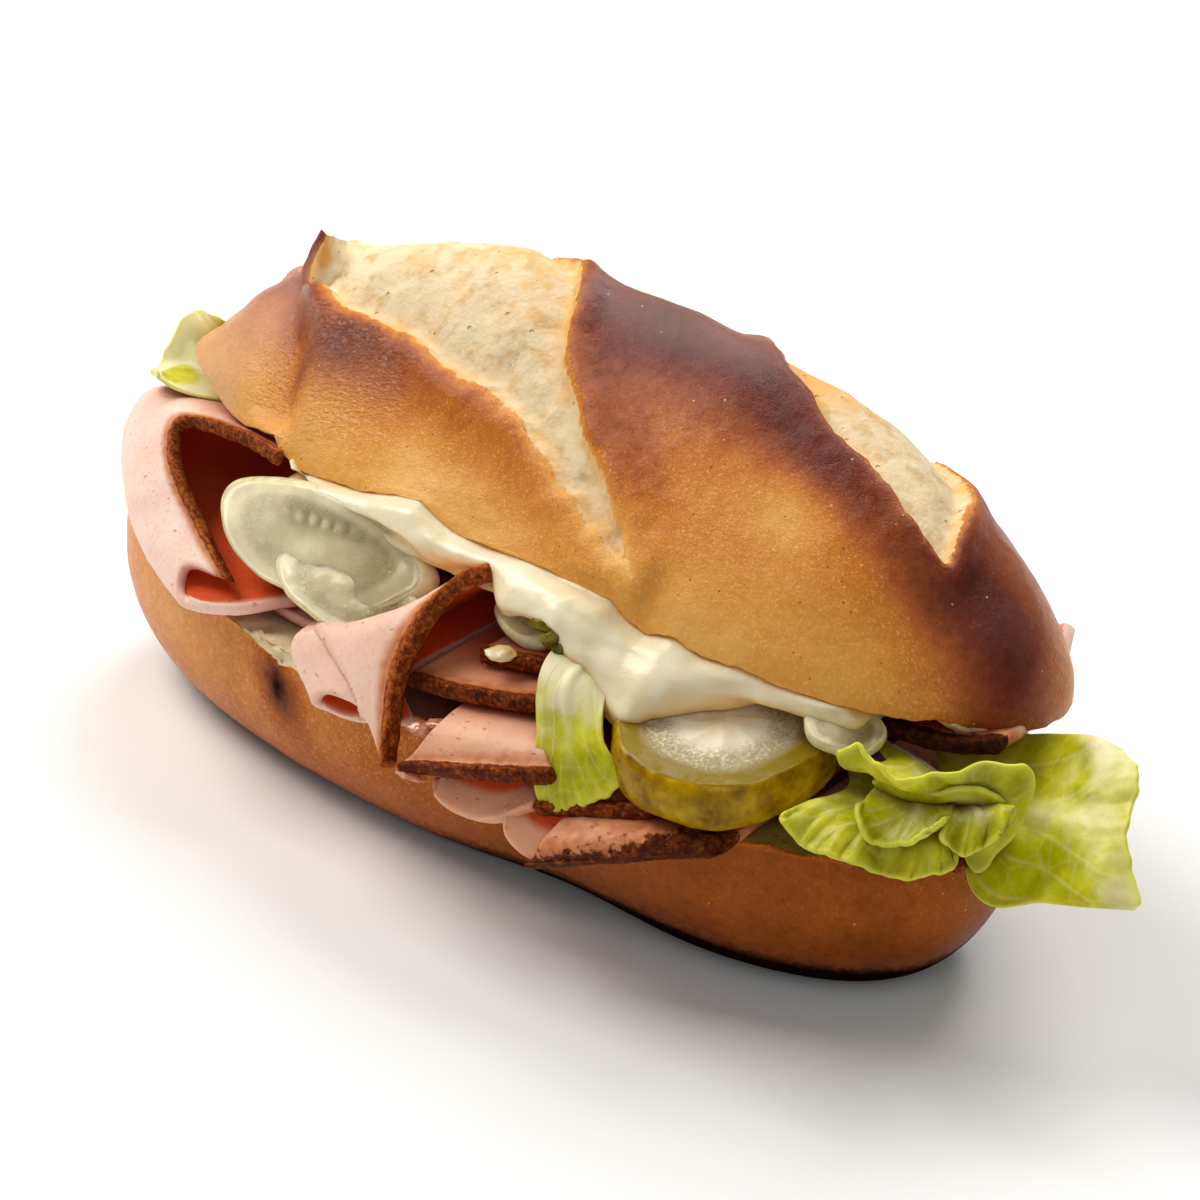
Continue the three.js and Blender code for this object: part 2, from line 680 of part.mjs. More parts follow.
function toMesh(name, shape, finish) {
  const geometry = toGeometry(shape);
  geometry.computeVertexNormals();
  const material = new THREE.MeshStandardMaterial({ ...finish, metalness: 0 });
  const mesh = new THREE.Mesh(geometry, material);
  mesh.name = name;
  return mesh;
}

function build() {
  const sandwich = new THREE.Group();
  const bottom = bottomHalf();
  const top = topHalf();
  sandwich.add(toMesh('bun_bottom', bottom, FINISH.crustBottom));
  const topMesh = toMesh('bun_top', top, FINISH.crustTop);
  topMesh.position.copy(TOP_PLACE);
  topMesh.rotation.copy(TOP_TURN);
  sandwich.add(topMesh);

  const neighbours = [toManifold(grown(bottom)), toManifold(grown(placedTop(top)))];
  const place = (name, shape, finish) => {
    sandwich.add(toMesh(name, pressedOn(shape, neighbours), finish));
    neighbours.push(toManifold(grown(shape)));
  };
  for (const [name, slice] of Object.entries(PICKLES)) {
    place(name, pickleSlice(slice), slice.finish);
  }
  for (const [name, rows] of Object.entries(MEAT)) {
    place(name, meatSolid(rows), FINISH.meat);
  }
  for (const [name, leaf] of Object.entries(LEAVES)) {
    place(name, leafSolid(leaf), FINISH.lettuce);
  }
  place('sauce', sauceSolid(), FINISH.sauce);

  // The origin is at the middle of the base
  const box = new THREE.Box3().setFromObject(sandwich, true);
  const middle = box.getCenter(new THREE.Vector3());
  sandwich.position.set(-middle.x, -middle.y, -box.min.z);
  const placed = new THREE.Group();
  placed.add(sandwich);
  return placed;
}

export default build();
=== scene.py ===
import math

import bpy
import numpy as np
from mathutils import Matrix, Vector


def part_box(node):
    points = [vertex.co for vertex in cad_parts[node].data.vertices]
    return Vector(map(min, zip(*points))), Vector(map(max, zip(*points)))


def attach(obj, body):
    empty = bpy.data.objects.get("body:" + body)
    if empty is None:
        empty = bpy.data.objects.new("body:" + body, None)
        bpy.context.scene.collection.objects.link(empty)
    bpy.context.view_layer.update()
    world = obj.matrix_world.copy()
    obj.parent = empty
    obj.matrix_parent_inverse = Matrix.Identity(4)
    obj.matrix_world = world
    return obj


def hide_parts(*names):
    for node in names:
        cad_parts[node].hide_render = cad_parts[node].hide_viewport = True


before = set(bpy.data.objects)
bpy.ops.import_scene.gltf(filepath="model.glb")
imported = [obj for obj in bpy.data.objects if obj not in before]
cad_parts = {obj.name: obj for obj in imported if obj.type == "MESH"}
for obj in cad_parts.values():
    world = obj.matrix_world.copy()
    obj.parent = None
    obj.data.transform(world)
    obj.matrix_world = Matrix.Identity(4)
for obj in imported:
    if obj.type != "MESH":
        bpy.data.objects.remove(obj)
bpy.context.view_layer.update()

# Sizes in millimetres, in the sandwich's own frame: +X along the roll, -Y the open front, +Z up
MM = 0.001
ROLL_LENGTH = 180
ROLL_WIDTH = 65
BOTTOM_HEIGHT = 30
TOP_HEIGHT = 40.5
MEAT_THICKNESS = 2.2
LEAF_THICKNESS = 0.9
SAUCE_THICKNESS = 4

BOTTOM_PLAN = {"length": ROLL_LENGTH / 2, "width": ROLL_WIDTH / 2, "power": 2.4}
TOP_PLAN = {"length": ROLL_LENGTH / 2 - 1.5, "width": ROLL_WIDTH / 2, "power": 2.35}
BOTTOM_CENTRE_Y = -4.8
BOTTOM_SIDE = [(0, 0.66), (1.8, 0.76), (6, 0.875), (12, 0.96), (19, 1), (26, 0.998), (30, 0.985)]
END_DRAW_IN = 1.3
WAIST = {"x": 24, "spread": 20, "depth": 4, "share_at_cut": 0.25}

TOP_PLACE = np.array([2.9, 7.9, 47.3])
TOP_TILT = math.radians(-12)
TOP_PITCH = math.radians(1.3)
TOP_DOME = {"front": 1.32, "back": 1.65, "along": 1.76}

# Where the sandwich's own frame lies in the row frame, read from the lower half's box
bottom_low, bottom_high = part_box("bun_bottom")
ORIGIN = np.array([
    (bottom_low.x + bottom_high.x) / 2 / MM,
    bottom_high.y / MM - BOTTOM_CENTRE_Y - BOTTOM_PLAN["width"],
    0.0,
])


# Small maths helpers
def clamp01(value):
    return np.clip(value, 0, 1)


def smooth(low, high, value):
    k = clamp01((value - low) / (high - low))
    return k * k * (3 - 2 * k)


def bell(distance, spread):
    return np.exp(-((distance / spread) ** 2))


def signed_power(value, power):
    return np.sign(value) * np.abs(value) ** power


def unit(vectors):
    return vectors / (np.linalg.norm(vectors, axis=-1, keepdims=True) + 1e-12)


def rotation(axis, angle):
    """A matrix that turns points about the axis 0, 1 or 2."""
    turn = np.eye(3)
    i, j = (axis + 1) % 3, (axis + 2) % 3
    turn[i, i] = turn[j, j] = math.cos(angle)
    turn[j, i] = math.sin(angle)
    turn[i, j] = -turn[j, i]
    return turn


def segment_distance(x, y, start, end):
    """Distance of plan points to a straight segment."""
    (ax, ay), (bx, by) = start, end
    k = clamp01(((x - ax) * (bx - ax) + (y - ay) * (by - ay)) / ((bx - ax) ** 2 + (by - ay) ** 2))
    return np.hypot(x - ax - k * (bx - ax), y - ay - k * (by - ay))


def bumps(x, y, table):
    """Soft round bumps over plan points, from rows of plan place, radius and height."""
    return sum(height * bell(np.hypot(x - px, y - py), radius) for px, py, radius, height in table)


GRADIENTS = unit(np.random.default_rng(7).normal(size=(256, 3)))


def lattice_noise(points, cell, seed):
    """Smooth noise from -1 to 1 at points, with features about one cell wide."""
    place = points / cell + seed * 17.3
    low = np.floor(place).astype(np.int64)
    inside = place - low
    fade = inside ** 3 * (inside * (inside * 6 - 15) + 10)
    total = np.zeros(len(points))
    for corner in np.ndindex(2, 2, 2):
        at = low + corner
        key = (at[:, 0] * 73856093 ^ at[:, 1] * 19349663 ^ at[:, 2] * 83492791) & 255
        height = (GRADIENTS[key] * (inside - corner)).sum(1)
        weight = np.where(corner, fade, 1 - fade).prod(1)
        total += height * weight
    return total * 1.6


def rough(points, cell, octaves, seed):
    """Several sizes of lattice noise on top of each other."""
    total = np.zeros(len(points))
    for k in range(octaves):
        total += lattice_noise(points, cell / 2 ** k, seed + k) / 2 ** k
    return total


def drift(points, cell, seed, octaves=1):
    """A smooth random shift of each point along the three axes, up to about 1."""
    return np.stack([rough(points, cell, octaves, seed + k) for k in range(3)], 1)


# Meshes
def grid_faces(rows, columns, wrap=False):
    a = np.arange((rows - 1) * columns).reshape(rows - 1, columns)
    if not wrap:
        a = a[:, :-1]
    a = a.ravel()
    b = a + 1
    if wrap:
        b = np.where(b % columns == 0, b - columns, b)
    return np.stack([a, b, b + columns, a + columns], 1)


def make_piece(name, points, faces, fields, material, nodes=()):
    """One shaded mesh in the row frame that stands for CAD nodes or is added to them."""
    mesh = bpy.data.meshes.new(name)
    mesh.from_pydata(((points + ORIGIN) * MM).tolist(), [], [list(face) for face in faces])
    mesh.validate()
    mesh.shade_smooth()
    for key, values in fields.items():
        attribute = mesh.attributes.new(key, "FLOAT", "POINT")
        attribute.data.foreach_set("value", np.asarray(values, np.float32))
    mesh.materials.append(MATERIALS[material])
    piece = bpy.data.objects.new(name, mesh)
    bpy.context.scene.collection.objects.link(piece)
    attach(piece, "root")
    if nodes:
        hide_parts(*nodes)
    return piece


def joined(bodies):
    """Points and faces of several bodies as one mesh."""
    points, faces, total = [], [], 0
    for body_points, body_faces in bodies:
        points.append(body_points)
        faces.extend([[v + total for v in face] for face in body_faces])
        total += len(body_points)
    return np.concatenate(points), faces


def closed_rings(rings):
    """Points and faces of a body from rings of points, lowest first, with a fan over each end."""
    count, columns = rings.shape[:2]
    points = np.concatenate([rings.reshape(-1, 3), rings[[0, -1]].mean(1)])
    low, high = count * columns, count * columns + 1
    last = (count - 1) * columns
    faces = grid_faces(count, columns, wrap=True).tolist()
    for i in range(columns):
        following = (i + 1) % columns
        faces.append([low, following, i])
        faces.append([high, last + i, last + following])
    return points, faces


def capped(fields):
    """Fields of closed rings, with a value more for each of their two end points."""
    return {key: np.append(values, values[[0, -1]]) for key, values in fields.items()}


def plan_ring(plan, columns):
    """X and Y of points round a rounded plan outline."""
    angle = np.arange(columns) / columns * 2 * math.pi
    power = 2 / plan["power"]
    x = plan["length"] * signed_power(np.cos(angle), power)
    return x, plan["width"] * signed_power(np.sin(angle), power)


def spline_weights(count, values):
    """Weights of a Catmull-Rom spline's points at values from 0 to 1, its ends carried straight on."""
    place = np.clip(values, 0, 1) * (count - 1)
    left = np.minimum(np.floor(place).astype(int), count - 2)
    w = place - left
    parts = [
        -0.5 * w + w ** 2 - 0.5 * w ** 3,
        1 - 2.5 * w ** 2 + 1.5 * w ** 3,
        0.5 * w + 2 * w ** 2 - 1.5 * w ** 3,
        -0.5 * w ** 2 + 0.5 * w ** 3,
    ]
    weights = np.zeros((len(values), count + 2))
    for k, part in enumerate(parts):
        weights[np.arange(len(values)), left + k] += part
    first, last = weights[:, :1], weights[:, -1:]
    inner = weights[:, 1:-1].copy()
    inner[:, :2] += first * [2, -1]
    inner[:, -2:] += last * [-1, 2]
    return inner


def loft(rows, t, s):
    """Points of a surface through rows of points: t along each row, s from the first row to the last."""
    rows = np.array(rows, float)
    return np.einsum(
        "sr,rpk,tp->stk", spline_weights(len(rows), s), rows, spline_weights(rows.shape[1], t)
    )


RIM_ANGLES = np.radians([54, 18, -18, -54])


def surface_normal(grid):
    return unit(np.cross(np.gradient(grid, axis=1), np.gradient(grid, axis=0)))


def sheet_shell(grid, half, bulge=0.9):
    """A closed thin body round a grid of points, with round edges.

    Gives its points, faces, the grid point that each comes from and how far it is round the rim."""
    rows, columns = grid.shape[:2]
    half = np.broadcast_to(half, (rows, columns))
    normal = surface_normal(grid)
    outer = (grid + normal * half[..., None]).reshape(-1, 3)
    inner = (grid - normal * half[..., None]).reshape(-1, 3)
    index = np.arange(rows * columns).reshape(rows, columns)
    rim = np.concatenate([index[0, :-1], index[:-1, -1], index[-1, :0:-1], index[:0:-1, 0]])
    next_in = np.concatenate([index[1, :-1], index[:-1, -2], index[-2, :0:-1], index[:0:-1, 1]])
    flat, flat_normal, flat_half = grid.reshape(-1, 3), normal.reshape(-1, 3), half.ravel()
    out = flat[rim] - flat[next_in]
    out = unit(out - flat_normal[rim] * (out * flat_normal[rim]).sum(1, keepdims=True))
    loops = []
    for angle in RIM_ANGLES:
        away = flat_normal[rim] * np.sin(angle) + out * bulge * np.cos(angle)
        loops.append(flat[rim] + flat_half[rim, None] * away)
    points = np.concatenate([outer, inner, *loops])
    top = grid_faces(rows, columns)
    total = rows * columns
    faces = [top, top[:, ::-1] + total]
    between = [2 * total + k * len(rim) + np.arange(len(rim)) for k in range(len(loops))]
    ids = [rim, *between, rim + total]
    for upper, lower in zip(ids, ids[1:]):
        faces.append(np.stack([upper, lower, np.roll(lower, -1), np.roll(upper, -1)], 1))
    source = np.concatenate([np.arange(total), np.arange(total)] + [rim] * len(loops))
    turn = np.concatenate([np.zeros(2 * total)] + [np.full(len(rim), math.cos(a)) for a in RIM_ANGLES])
    return points, np.concatenate(faces), source, turn


def outline_distance(outline, x, y):
    """Distance of plan points to a closed outline, negative inside it."""
    a = np.array(outline, float)
    b = np.roll(a, -1, 0)
    best = np.full(len(x), 1e9)
    inside = np.zeros(len(x), bool)
    for (ax, ay), (bx, by) in zip(a, b):
        best = np.minimum(best, segment_distance(x, y, (ax, ay), (bx, by)))
        crosses = (ay > y) != (by > y)
        inside ^= crosses & (x < ax + (y - ay) / (by - ay + 1e-12) * (bx - ax))
    return np.where(inside, -best, best)


def rounded(outline, steps=6):
    """A closed smooth outline through a few points."""
    points = np.array(outline, float)
    closed = np.concatenate([points[-2:], points, points[:3]])
    curve = spline_weights(len(closed), np.linspace(0, 1, (len(closed) - 1) * steps + 1)) @ closed
    return curve[2 * steps:(2 + len(points)) * steps]


# Materials: each is a tree of procedural nodes over the piece's own coordinates
def linear(colour):
    """A colour given as three sRGB values from 0 to 255, in linear light."""
    c = np.array(colour) / 255
    return (*np.where(c <= 0.04045, c / 12.92, ((c + 0.055) / 1.055) ** 2.4), 1)


class Shader:
    """Makes one material and gives short names to the nodes that it needs."""

    def __init__(self, name):
        self.material = bpy.data.materials.new(name)
        self.material.use_nodes = True
        self.tree = self.material.node_tree
        self.tree.nodes.clear()
        self.place = self.add("ShaderNodeTexCoord").outputs["Object"]

    def add(self, kind, inputs=None, **settings):
        node = self.tree.nodes.new(kind)
        for key, value in settings.items():
            setattr(node, key, value)
        for key, value in (inputs or {}).items():
            if isinstance(value, bpy.types.NodeSocket):
                self.tree.links.new(value, node.inputs[key])
            else:
                node.inputs[key].default_value = value
        return node

    def field(self, name):
        return self.add("ShaderNodeAttribute", attribute_name=name).outputs["Fac"]

    def stretched(self, x, y, z):
        node = self.add("ShaderNodeMapping", {"Vector": self.place, "Scale": (x, y, z)})
        return node.outputs["Vector"]

    def noise(self, size, detail=3, roughness=0.5, distortion=0, place=None):
        """Noise from 0 to 1 with features of a size in millimetres."""
        inputs = {
            "Vector": place or self.place,
            "Scale": 1 / (size * MM),
            "Detail": detail,
            "Roughness": roughness,
            "Distortion": distortion,
        }
        return self.add("ShaderNodeTexNoise", inputs).outputs["Fac"]

    def cells(self, size, feature="F1", place=None):
        inputs = {"Vector": place or self.place, "Scale": 1 / (size * MM)}
        return self.add("ShaderNodeTexVoronoi", inputs, feature=feature).outputs["Distance"]

    def math(self, operation, a, b=0.0, c=0.0):
        return self.add("ShaderNodeMath", {0: a, 1: b, 2: c}, operation=operation).outputs[0]

    def times(self, a, b):
        return self.math("MULTIPLY", a, b)

    def less(self, a, b):
        return self.math("SUBTRACT", a, b)

    def scaled(self, value, share, base):
        """A share of a value on top of a base."""
        return self.math("MULTIPLY_ADD", value, share, base)

    def between(self, low, high, value):
        """0 where value is low or less, 1 where it is high or more, smooth between."""
        inputs = {"Value": value, "From Min": low, "From Max": high}
        return self.add("ShaderNodeMapRange", inputs, interpolation_type="SMOOTHSTEP").outputs["Result"]

    def ramp(self, value, stops):
        node = self.add("ShaderNodeValToRGB", {"Fac": value})
        ramp = node.color_ramp
        while len(ramp.elements) < len(stops):
            ramp.elements.new(0.5)
        for element, (place, colour) in zip(ramp.elements, stops):
            element.position = place
            element.color = linear(colour)
        return node.outputs["Color"]

    def mix(self, share, a, b, blend="MIX"):
        colours = [linear(c) if isinstance(c, tuple) else c for c in (a, b)]
        inputs = {0: share, 6: colours[0], 7: colours[1]}
        return self.add("ShaderNodeMix", inputs, data_type="RGBA", blend_type=blend).outputs[2]

    def tinted(self, colour, mask, amount, tint):
        """A colour with an amount of a tint where the mask is 1."""
        return self.mix(self.times(mask, amount), colour, tint)

    def deepened(self, colour, share, tint):
        """A colour multiplied by a tint, by a share."""
        return self.mix(share, colour, self.mix(1.0, colour, tint, "MULTIPLY"))

    def spots(self, size, low, high, place=None):
        """1 in small spots about a size in millimetres apart, 0 between them."""
        return self.less(1.0, self.between(low, high, self.cells(size, place=place)))

    def hollow(self, reach):
        """How deep a place lies in a hollow, 0 in the open and 1 where all round it is near."""
        inputs = {"Distance": reach * MM}
        node = self.add("ShaderNodeAmbientOcclusion", inputs, samples=2)
        return self.less(1.0, node.outputs["AO"])

    def bump(self, height, depth, normal=None):
        """A normal bent by a height from 0 to 1 that stands for a depth in millimetres."""
        inputs = {"Height": height, "Distance": depth * MM, "Strength": 1.0}
        if normal:
            inputs["Normal"] = normal
        return self.add("ShaderNodeBump", inputs).outputs["Normal"]

    def finish(self, colour, roughness, normal, **sockets):
        inputs = {"Base Color": colour, "Roughness": roughness, "Normal": normal}
        inputs.update({key.replace("_", " "): value for key, value in sockets.items()})
        surface = self.add("ShaderNodeBsdfPrincipled", inputs).outputs["BSDF"]
        self.add("ShaderNodeOutputMaterial", {"Surface": surface})
        return self.material


CRUST_STOPS = [
    (0.0, (238, 182, 96)),
    (0.22, (222, 150, 58)),
    (0.42, (200, 116, 32)),
    (0.6, (162, 78, 20)),
    (0.78, (112, 42, 10)),
    (1.0, (50, 13, 3)),
]
CRUMB = (232, 211, 171)
CRUMB_SHADE = (212, 180, 126)
CRUMB_TOAST = (230, 176, 100)


LOWER_STOPS = [
    (0.0, (240, 176, 110)),
    (0.22, (222, 142, 62)),
    (0.42, (186, 94, 8)),
    (0.6, (160, 78, 6)),
    (0.78, (108, 48, 4)),
    (1.0, (40, 12, 1)),
]


def crust_material(name, gloss, stops, specular, sheen):
    """Lye crust where the field edge is above 0 and pale crumb below; bake is how dark the crust is."""
    s = Shader(name)
    ragged = s.times(s.less(s.noise(1.3, 4, 0.7), 0.5), 1.5)
    edge = s.math("ADD", s.field("edge"), ragged)
    crust = s.between(-0.12, 0.2, edge)

    blotches = s.less(s.noise(14, 4, 0.55), 0.5)
    mottle = s.less(s.noise(1.6, 5, 0.65), 0.5)
    rim = s.less(1.0, s.between(0.1, 1.3, edge))
    bake = s.scaled(blotches, 0.3, s.field("bake"))
    bake = s.scaled(mottle, 0.26, bake)
    bake = s.scaled(rim, -0.2, bake)
    colour = s.ramp(bake, stops)
    fibres = s.noise(0.5, 3, 0.65, 0.5, s.stretched(1, 1.7, 0.8))
    golden = s.between(0.72, 0.3, bake)
    flecks = s.times(s.between(0.52, 0.68, fibres), golden)
    colour = s.tinted(colour, flecks, 0.5, (248, 196, 116))
    specks = s.spots(2.9, 0.04, 0.075)
    colour = s.tinted(colour, specks, 0.75, (70, 24, 8))
    grit = s.spots(4.1, 0.03, 0.06)
    colour = s.tinted(colour, grit, 0.6, (244, 206, 150))
    char = s.field("char")
    charred = s.between(0.15, 1.0, s.scaled(mottle, 0.7, char))
    # Grey painted sheen, and at the left end partly a dull bloom on the crust
    colour = s.mix(s.field("veil"), colour, (186, 150, 140))
    colour = s.mix(charred, colour, (24, 9, 3))

    holes = s.noise(3.4, 4, 0.5)
    crumb = s.mix(s.between(0.52, 0.3, holes), CRUMB, CRUMB_SHADE)
    pores = s.spots(3.4, 0.04, 0.13)
    crumb = s.tinted(crumb, pores, 0.2, (206, 172, 116))
    toast = s.between(0.45, 0.95, s.scaled(s.noise(5, 4, 0.6), 0.9, s.field("toast")))
    crumb = s.mix(toast, crumb, CRUMB_TOAST)
    crumb = s.mix(s.field("stain"), crumb, (158, 134, 22))
    # Painted shade: red-brown on the lower cut face under the filling
    crumb = s.mix(s.field("soak"), crumb, (120, 58, 28))
    # Painted shade: the crumb of the cut faces turns darker and browner further in from the edge, where
    # the other half and the filling shade it
    crumb = s.deepened(crumb, s.field("shut"), (150, 84, 30))
    colour = s.mix(crust, crumb, colour)

    skin = s.scaled(s.noise(0.7, 4, 0.6), 0.45, s.noise(3.2, 3, 0.5))
    wrinkles = s.times(s.noise(1.3, 3, 0.5, 0.6, s.stretched(1, 2.4, 1)), s.field("wet"))
    crumbly = s.less(1.0, crust)
    normal = s.bump(s.times(skin, crust), 0.22)
    normal = s.bump(s.times(fibres, crust), 0.12, normal)
    normal = s.bump(wrinkles, 1.7, normal)
    normal = s.bump(s.times(s.noise(1.1, 3, 0.6), crumbly), 0.24, normal)
    normal = s.bump(s.times(pores, crumbly), -0.4, normal)
    dull = s.scaled(mottle, 0.25, gloss)
    dull = s.scaled(s.field("wet"), -0.24, dull)
    dull = s.scaled(charred, 0.4, dull)
    roughness = s.scaled(crumbly, 0.42, dull)
    shine = s.times(s.less(1.0, charred), specular)
    return s.finish(
        colour, roughness, normal,
        Specular_IOR_Level=s.scaled(s.field("wet"), 0.5, shine),
        Sheen_Weight=sheen, Sheen_Roughness=0.45,
        Sheen_Tint=linear((226, 214, 228)),
    )


def meat_material():
    """Pink fine-grained meat loaf; rind is the distance in millimetres from its baked edge."""
    s = Shader("meat_loaf")
    grain = s.noise(0.8, 4, 0.6)
    patches = s.noise(9, 3, 0.5)
    uneven = s.times(s.less(s.noise(1.6, 4, 0.65), 0.5), 2.2)
    rind = s.math("ADD", s.field("rind"), uneven)

    pink = s.mix(s.between(0.3, 0.7, patches), (244, 204, 184), (250, 220, 204))
    pink = s.tinted(pink, s.between(0.5, 0.68, grain), 0.4, (230, 176, 152))
    pores = s.spots(3.1, 0.06, 0.16, s.stretched(1, 1.8, 1))
    pink = s.tinted(pink, pores, 0.4, (206, 140, 112))
    # Painted light: a tan tint for warm light bounced onto the pink, set per slice
    pink = s.mix(s.field("warm"), pink, (226, 160, 116))
    # Painted shade: pink turns orange-red and darker in hollows, where shade falls
    sunk = s.hollow(14)
    pink = s.mix(s.between(0.3, 0.8, sunk), pink, (216, 92, 48))
    # Painted shade: the inner side of a fold is painted red for light scattered red inside it
    deep = s.field("deep")
    tan = s.mix(s.between(0.35, 0.65, s.noise(2.2, 3, 0.5)), (214, 140, 88), (196, 116, 70))
    # Painted shade: the tan by the rind turns dark red on a fold's inner side
    tan = s.mix(deep, tan, (158, 62, 12))
    brown_stops = [(0.3, (40, 12, 3)), (0.48, (84, 32, 8)), (0.6, (136, 62, 18)), (0.76, (196, 112, 48))]
    strip = s.add("ShaderNodeCombineXYZ", {
        "X": s.times(s.field("along"), 0.2 * MM),
        "Y": s.times(s.field("face"), 1.4 * MM),
        "Z": s.times(s.field("rind"), MM),
    }).outputs["Vector"]
    specks = s.times(s.noise(0.9, 5, 0.75), 0.85)
    streaks = s.scaled(s.noise(0.7, 5, 0.7, 0.3, strip), 0.45, specks)
    lit = s.times(s.between(0.75, 0.3, s.field("face")), 0.05)
    # Painted shade darkens the rind per slice, and below 0 painted light lightens it
    streaks = s.less(s.math("ADD", streaks, lit), s.field("smoked"))
    brown = s.ramp(s.less(streaks, 0.1), brown_stops)
    # Painted shade: the inside of a fold is redder deeper in hollows
    red = s.mix(s.between(0.4, 0.9, sunk), (204, 84, 42), (255, 84, 30))
    pink = s.mix(deep, pink, red)
    colour = s.mix(s.between(4.6, 1.6, rind), pink, tan)
    bark = s.between(1.3, 0.9, rind)
    colour = s.mix(bark, colour, brown)
    # Painted shade: darker red-brown in hollows, away from the folds' inner sides
    dark = s.times(s.between(0.5, 1.0, sunk), s.less(1.0, deep))
    colour = s.deepened(colour, dark, (176, 56, 20))

    crackle = s.times(s.noise(0.9, 5, 0.7), s.between(1.6, 0.6, rind))
    dim = s.math("MAXIMUM", dark, s.math("MAXIMUM", bark, deep))
    normal = s.bump(grain, 0.1)
    normal = s.bump(s.times(pores, -1.0), 0.25, normal)
    normal = s.bump(crackle, 0.5, normal)
    roughness = s.scaled(dark, 0.3, s.scaled(grain, 0.25, 0.3))
    return s.finish(
        colour, roughness, normal,
        Subsurface_Weight=0.4, Subsurface_Scale=2.5 * MM, Subsurface_Radius=(1, 0.4, 0.25),
        Specular_IOR_Level=s.scaled(dim, -0.24, 0.3),
    )


def gherkin_material(name, flesh, seeds, core, rim, rim_share, grainy, skin_stops, specular):
    """Skin where the field skin is 1, elsewhere wet flesh with seeds, tinted to the core colour for the
    seed core and for painted shade.
    """
    s = Shader(name)
    radial = s.field("radial")
    mottle = s.noise(2.4, 4, 0.5)
    inner = s.mix(s.between(0.35, 0.7, mottle), flesh, seeds)
    inner = s.mix(s.field("core"), inner, core)
    band = s.times(s.between(0.3, 0.55, radial), s.between(0.78, 0.66, radial))
    grains = s.times(s.between(0.4, 0.64, s.noise(0.6, 4, 0.7)), band)
    inner = s.tinted(inner, grains, grainy, (170, 158, 106))
    near_skin = s.between(0.6, 0.78, radial)
    inner = s.tinted(inner, near_skin, rim_share, rim)
    skin = s.ramp(s.noise(3.4, 5, 0.6), skin_stops)
    spots = s.spots(5.2, 0.08, 0.2)
    skin = s.tinted(skin, spots, 0.3, (196, 170, 20))
    colour = s.mix(s.between(0.35, 0.6, s.field("skin")), inner, skin)
    normal = s.bump(s.noise(3.2, 3, 0.5), 0.3)
    normal = s.bump(grains, 0.2, normal)
    return s.finish(
        colour, 0.24, normal,
        Subsurface_Weight=0.5, Subsurface_Scale=3 * MM, Subsurface_Radius=(1, 0.85, 0.3),
        Specular_IOR_Level=specular,
    )


def leaf_material():
    """Yellow-green leaf, white along its veins and towards its root, bright at its frilly edge."""
    s = Shader("lettuce")
    patches = s.noise(6, 4, 0.6)
    blade = s.ramp(patches, [(0.3, (156, 152, 0)), (0.5, (192, 186, 6)), (0.72, (220, 214, 54))])
    streaks = s.less(s.noise(9, 3, 0.5, 0.6), 0.5)
    pale = s.scaled(streaks, 1.5, s.field("pale"))
    colour = s.mix(s.between(0.2, 0.95, pale), blade, (236, 228, 190))
    net = s.less(1.0, s.between(0.01, 0.07, s.cells(4.5, "DISTANCE_TO_EDGE")))
    colour = s.tinted(colour, net, 0.12, (230, 222, 150))
    colour = s.tinted(colour, s.field("vein"), 0.4, (236, 230, 184))
    colour = s.tinted(colour, s.field("rim"), 0.5, (218, 216, 90))
    # Painted shade: darker olive in hollows, where shade falls
    sunk = s.hollow(9)
    colour = s.deepened(colour, s.between(0.3, 0.95, sunk), (190, 178, 60))
    normal = s.bump(s.noise(3.4, 3, 0.5), 0.25)
    normal = s.bump(s.field("vein"), 0.08, normal)
    return s.finish(
        colour, 0.34, normal,
        Subsurface_Weight=0.6, Subsurface_Scale=1.8 * MM, Subsurface_Radius=(0.9, 1, 0.25),
        Specular_IOR_Level=0.2,
    )


def jelly_material():
    """Clear amber jelly from the meat."""
    s = Shader("meat_jelly")
    colour = s.mix(s.between(0.35, 0.65, s.noise(1.4, 3, 0.5)), (206, 150, 118), (172, 104, 70))
    return s.finish(
        colour, 0.1, s.bump(s.noise(1.5, 3, 0.5), 0.2),
        Subsurface_Weight=0.6, Subsurface_Scale=3 * MM, Subsurface_Radius=(1, 0.6, 0.3),
        Specular_IOR_Level=0.6,
    )


def sauce_material():
    """Thick ivory sauce, a little uneven and glossy."""
    s = Shader("sauce")
    patches = s.noise(7, 3, 0.5)
    colour = s.mix(s.between(0.3, 0.7, patches), (236, 222, 184), (246, 236, 208))
    # Painted shade: warm yellow-brown in hollows, for shade lit by warm bounce light
    sunk = s.between(0.1, 0.6, s.hollow(16))
    colour = s.deepened(colour, sunk, (252, 214, 150))
    normal = s.bump(s.noise(2.6, 3, 0.5), 0.22)
    return s.finish(
        colour, 0.3, normal,
        Subsurface_Weight=0.5, Subsurface_Scale=3 * MM, Subsurface_Radius=(1, 0.8, 0.5),
        Specular_IOR_Level=0.4,
    )


# The lower half of the roll
BOTTOM_COLUMNS = 380
CUT_RINGS = 34
CUT_CRUST = 0.35
# Painted shade on the cut faces: its strength, and how far in from the edge it starts and is full
SHUT_AMOUNT = 0.8
SHUT_REACH = (2, 12)
SIDE_RINGS = 62
BASE_SHARES = (0.06, 0.3, 0.55, 0.8, 0.93)
MIDDLE_HEIGHT = 14
STAIN_FROM = 44
STAIN_FULL = 58
